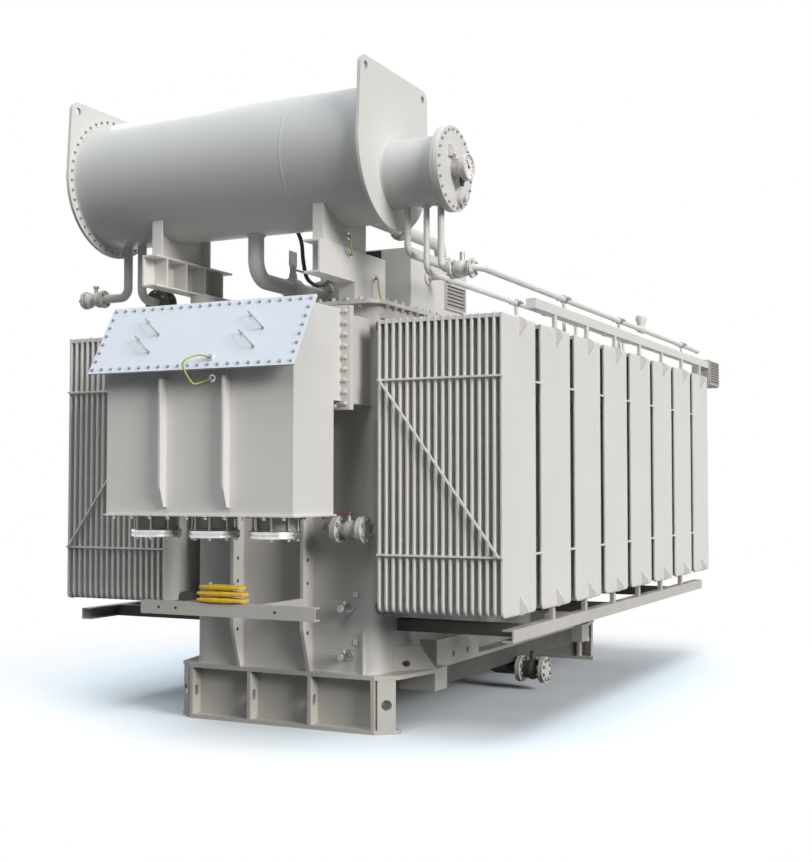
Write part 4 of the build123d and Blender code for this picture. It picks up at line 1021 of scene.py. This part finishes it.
def sampling_cock(shape, z):
    """A sampling cock with a hexagon neck, spout cap and thin lever."""
    x = tank_low.x
    shape.disc((x, SAMPLER_Y, z), FRONT, 0.034, 0.014, 32, 1)
    shape.lathe((x, SAMPLER_Y, z), FRONT, [(0.014, 0.024), (0.036, 0.024)], 6, 1)
    barrel = [(0.036, 0.016), (0.05, 0.019), (0.085, 0.019)]
    barrel += [(0.095, 0.024), (0.117, 0.024), (0.12, 0.019)]
    shape.lathe((x, SAMPLER_Y, z), FRONT, barrel, 28, 1)
    shape.lathe((x - 0.072, SAMPLER_Y, z), UP, [(0.012, 0.012), (0.03, 0.010), (0.041, 0.010)], 20, 1)
    shape.box((x - 0.079, SAMPLER_Y - 0.006, z + 0.036), (x - 0.065, SAMPLER_Y + 0.095, z + 0.041), 1)
    shape.box((x - 0.010, SAMPLER_Y - 0.062, z + 0.060), (x, SAMPLER_Y - 0.030, z + 0.092), 1)


def bottom_valve(shape):
    """The valve on the right side, low under the deck, closed by a blank."""
    x, z = -0.064, 0.150
    beam_y, blank_y = -0.560, -0.985
    run = [(x, beam_y, deck_low.z), (x, beam_y, z), (x, blank_y, z)]
    # The pipe, body and stem take the near-black painted shade in slot 2.
    shape.tube(pipe_path(run, 0.07, 10), 0.044, PIPE_SIDES, 2)
    for flange_y in (-0.788, -0.962):
        add_flange(shape, (x, flange_y, z), RIGHT, 0.094, 0.036, 8, 0.022)
    body = [(0, 0.05), (0.03, 0.06), (0.06, 0.075), (0.08, 0.075), (0.138, 0.05)]
    shape.lathe((x, -0.824, z), RIGHT, body, 32, 2)
    shape.lathe((x, -0.893, z + 0.06), UP, [(0, 0.024), (0.04, 0.02), (0.07, 0.02)], 20, 2)


def tank_valves():
    """All valves and cocks of the tank, in place of their node."""
    valves = Shape()
    drain_valve(valves)
    for z in SAMPLER_HEIGHTS:
        sampling_cock(valves, z)
    bottom_valve(valves)
    valves.piece("valves_and_cocks", [GREY, BOLT, PAINTED_SHADE], ["tank_valves"])


def drain_lever():
    """The red lever: a flat bar with a round hub, a cranked step and a dipped grip."""
    low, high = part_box("drain_lever")
    hub_y = low.y + 0.011
    middle = (low.x + high.x) / 2
    top = high.z - 0.006
    lever = Shape()
    lever.lathe((middle, hub_y, low.z), UP, [(0, 0.009), (top - low.z, 0.009)], 20, 1)
    lever.disc((middle, hub_y, top), UP, 0.014, 0.006, 24)
    lever.bolt((middle, hub_y, high.z), UP, 0.014, 1)
    rings = []
    for share, half in LEVER_WIDTHS:
        y = hub_y + (high.y - hub_y) * share
        thick = 0.0055 if share < 0.45 else 0.006
        ring = [(middle - half, y, top), (middle + half, y, top)]
        ring += [(middle + half, y, top + thick), (middle - half, y, top + thick)]
        rings.append(ring)
    lever.rings([ring[::-1] for ring in rings])
    lever.piece("drain_lever_bar", [RED, BOLT], ["drain_lever"], LEVER_BODY)


def end_wall_details():
    """Black discs of painted shade where the ribs and the cable bar have bolt holes, and a narrow stiffener
    at the wall's edge.
    """
    details = Shape()
    # Thin black discs stand in for the shade inside the bolt holes.
    for rib_y in RIB_PLACES:
        for z in RIB_HOLE_HEIGHTS:
            for side in (-1, 1):
                seat = (RIB_HOLE_X, rib_y + side * RIB_HALF, z)
                details.disc(seat, (0, side, 0), 0.011, 0.0012, 20, 0, 0.0004)
    bar_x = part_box("cable_support")[0].x
    for y in BAR_HOLE_PLACES:
        details.disc((bar_x, y, BAR_HOLE_Z), FRONT, 0.009, 0.0012, 20, 0, 0.0004)
    details.box((tank_low.x - 0.028, -0.580, deck_high.z), (tank_low.x + 0.02, -0.570, 0.60), 1)
    details.piece("end_wall_details", [BLACK_RUBBER_AND_SHADE, GREY])


def louvres():
    """Slats on the far box and on the turret's side over black sheets of painted shade, and a black patch
    of painted shade on the turret's front.
    """
    slats = Shape()
    low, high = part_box("louvred_box")
    for x0, x1, z0, z1, face, count in (
        (low.x + 0.02, high.x - 0.02, low.z + 0.02, high.z - 0.02, low.y, 8),
        (-1.02, -0.72, 2.665, 2.815, turret_low.y, 6),
    ):
        place = facing((0, face, 0), REAR, UP)
        # The black sheet behind the slats is painted shade for the dark inside of the louvre.
        slats.box((x0, z0, 0), (x1, z1, 0.002), 1, place)
        for side in (x0 - 0.012, x1):
            slats.box((side, z0 - 0.012, 0), (side + 0.012, z1 + 0.012, 0.016), 0, place)
        for edge in (z0 - 0.012, z1):
            slats.box((x0, edge, 0), (x1, edge + 0.012, 0.016), 0, place)
        pitch = (z1 - z0) / count
        for i in range(count):
            seat = Matrix.Translation((0, z0 + pitch * (i + 0.5), 0.004))
            tilt = place @ seat @ Matrix.Rotation(SLAT_TILT, 4, "X")
            slats.box((x0, -pitch * 0.28, 0), (x1, pitch * 0.28, 0.003), 0, tilt)
    # A thin black patch on the turret's front: painted shade where a dark opening shows.
    shade_patch = facing((turret_low.x, 0, 0), RIGHT, UP)
    slats.box((0.31, turret_high.z - 0.13, 0), (0.43, turret_high.z - 0.008, 0.004), 1, shade_patch)
    slats.piece("louvre_slats", [BASE_GREY, BLACK_RUBBER_AND_SHADE])


cover_bolts()
weld_beads()
tank_valves()
drain_lever()
end_wall_details()
louvres()

# Camera, light and floor

CAMERA_PLACE = (-8.866, -4.223, 1.462)
CAMERA_YAW = math.radians(26.29)
CAMERA_PITCH = math.radians(2.464)
CAMERA_LENS = 53.93

camera_data = bpy.data.cameras.new("camera")
camera_data.sensor_width = 36
camera_data.lens = CAMERA_LENS
camera = bpy.data.objects.new("camera", camera_data)
bpy.context.scene.collection.objects.link(camera)
camera.location = CAMERA_PLACE
camera.rotation_euler = (math.pi / 2 + CAMERA_PITCH, 0, CAMERA_YAW - math.pi / 2)
bpy.context.scene.camera = camera


def sun(name, towards, strength, angle, colour=(1, 1, 1)):
    """A distant lamp that shines towards a direction."""
    data = bpy.data.lights.new(name, "SUN")
    data.energy = strength
    data.angle = math.radians(angle)
    data.color = colour
    lamp = bpy.data.objects.new(name, data)
    bpy.context.scene.collection.objects.link(lamp)
    lamp.rotation_euler = Vector(towards).to_track_quat("-Z", "Y").to_euler()


sun("side", (0.30, 0.90, -0.38), 3.0, 25, (1.0, 0.985, 0.965))
sun("front", (0.61, 0.08, -0.78), 1.2, 35, (1.0, 0.985, 0.97))
sun("top", (0.10, 0.05, -1.0), 1.4, 40, (0.84, 0.93, 1.0))
sun("back", (-0.45, -0.80, -0.40), 1.0, 40, (0.97, 0.98, 1.0))

SKY_SIDES, SKY_TOP, SKY_TOP_FROM = (0.05, 0.05, 0.05), (0.32, 0.38, 0.46), 0.75
SKY_STRENGTH = 0.6
FLOOR_RADIUS = 60
FLOOR_FADE = (2.2, 4.6)
# Blue-grey near the object is painted shadow colour, and it also reaches the lit floor close by; farther
# out the floor is neutral.
FLOOR_NEAR_SHADOW_TINT, FLOOR_FAR, FLOOR_FAR_FROM = (0.80, 0.86, 0.90), (0.90, 0.90, 0.90), 0.3
FLOOR_BOUNCE = (0.10, 0.10, 0.10, 1)


def seen_on(tree, *rays):
    """1 on any of these kinds of ray, otherwise 0."""
    path = new_node(tree, "LightPath")
    seen = path.outputs[rays[0]]
    for ray in rays[1:]:
        either = new_node(tree, "Math", None, {0: seen, 1: path.outputs[ray]})
        either.operation = "MAXIMUM"
        seen = either.outputs[0]
    return seen


def mixed(tree, share, first, second):
    """Two shaders, mixed by the share of the second."""
    return new_node(tree, "MixShader", None, {0: share, 1: first.outputs[0], 2: second.outputs[0]})


def studio_world():
    """Soft light, blue from above and dim from the sides, in front of plain white."""
    world = bpy.data.worlds.new("studio")
    bpy.context.scene.world = world
    world.use_nodes = True
    tree = world.node_tree
    seen = seen_on(tree, "Is Camera Ray", "Is Glossy Ray", "Is Transmission Ray")
    place = new_node(tree, "TexCoord").outputs["Generated"]
    height = new_node(tree, "SeparateXYZ", None, {"Vector": place}).outputs["Z"]
    ambient = tree.nodes["Background"]
    sky = tinted(tree, height, SKY_SIDES, SKY_TOP, 0.0, SKY_TOP_FROM)
    tree.links.new(sky, ambient.inputs["Color"])
    ambient.inputs["Strength"].default_value = SKY_STRENGTH
    white = new_node(tree, "Background", {"Color": (1, 1, 1, 1)})
    both = mixed(tree, seen, ambient, white)
    tree.links.new(both.outputs[0], tree.nodes["World Output"].inputs["Surface"])


def floor():
    """A wide pale floor that keeps the object's shadow, carries a blue-grey painted shadow colour near the
    object, and turns to plain white away from it.
    """
    bpy.ops.mesh.primitive_circle_add(vertices=96, radius=FLOOR_RADIUS, fill_type="NGON")
    ground = bpy.context.object
    ground.name = "floor"
    material = bpy.data.materials.new("pale_floor")
    material.use_nodes = True
    tree = material.node_tree
    tree.nodes.clear()
    place = new_node(tree, "TexCoord").outputs["Object"]
    length = new_node(tree, "VectorMath", None, {0: place})
    length.operation = "LENGTH"
    limits = {"From Min": FLOOR_FADE[0], "From Max": FLOOR_FADE[1]}
    fade = new_node(tree, "MapRange", limits, {"Value": length.outputs["Value"]})
    fade.interpolation_type = "SMOOTHSTEP"
    share = fade.outputs["Result"]
    # The near colour is painted shadow colour, fading to neutral with distance from the object.
    painted_shadow_colour = tinted(tree, share, FLOOR_NEAR_SHADOW_TINT, FLOOR_FAR, 0.0, FLOOR_FAR_FROM)
    pale = new_node(tree, "BsdfDiffuse", None, {"Color": painted_shadow_colour})
    shown = mixed(tree, share, pale, new_node(tree, "Emission"))
    dull = new_node(tree, "BsdfDiffuse", {"Color": FLOOR_BOUNCE})
    both = mixed(tree, seen_on(tree, "Is Camera Ray", "Is Glossy Ray"), dull, shown)
    new_node(tree, "OutputMaterial", None, {"Surface": both.outputs[0]})
    ground.data.materials.append(material)


studio_world()
floor()
bpy.context.scene.view_settings.view_transform = "Standard"
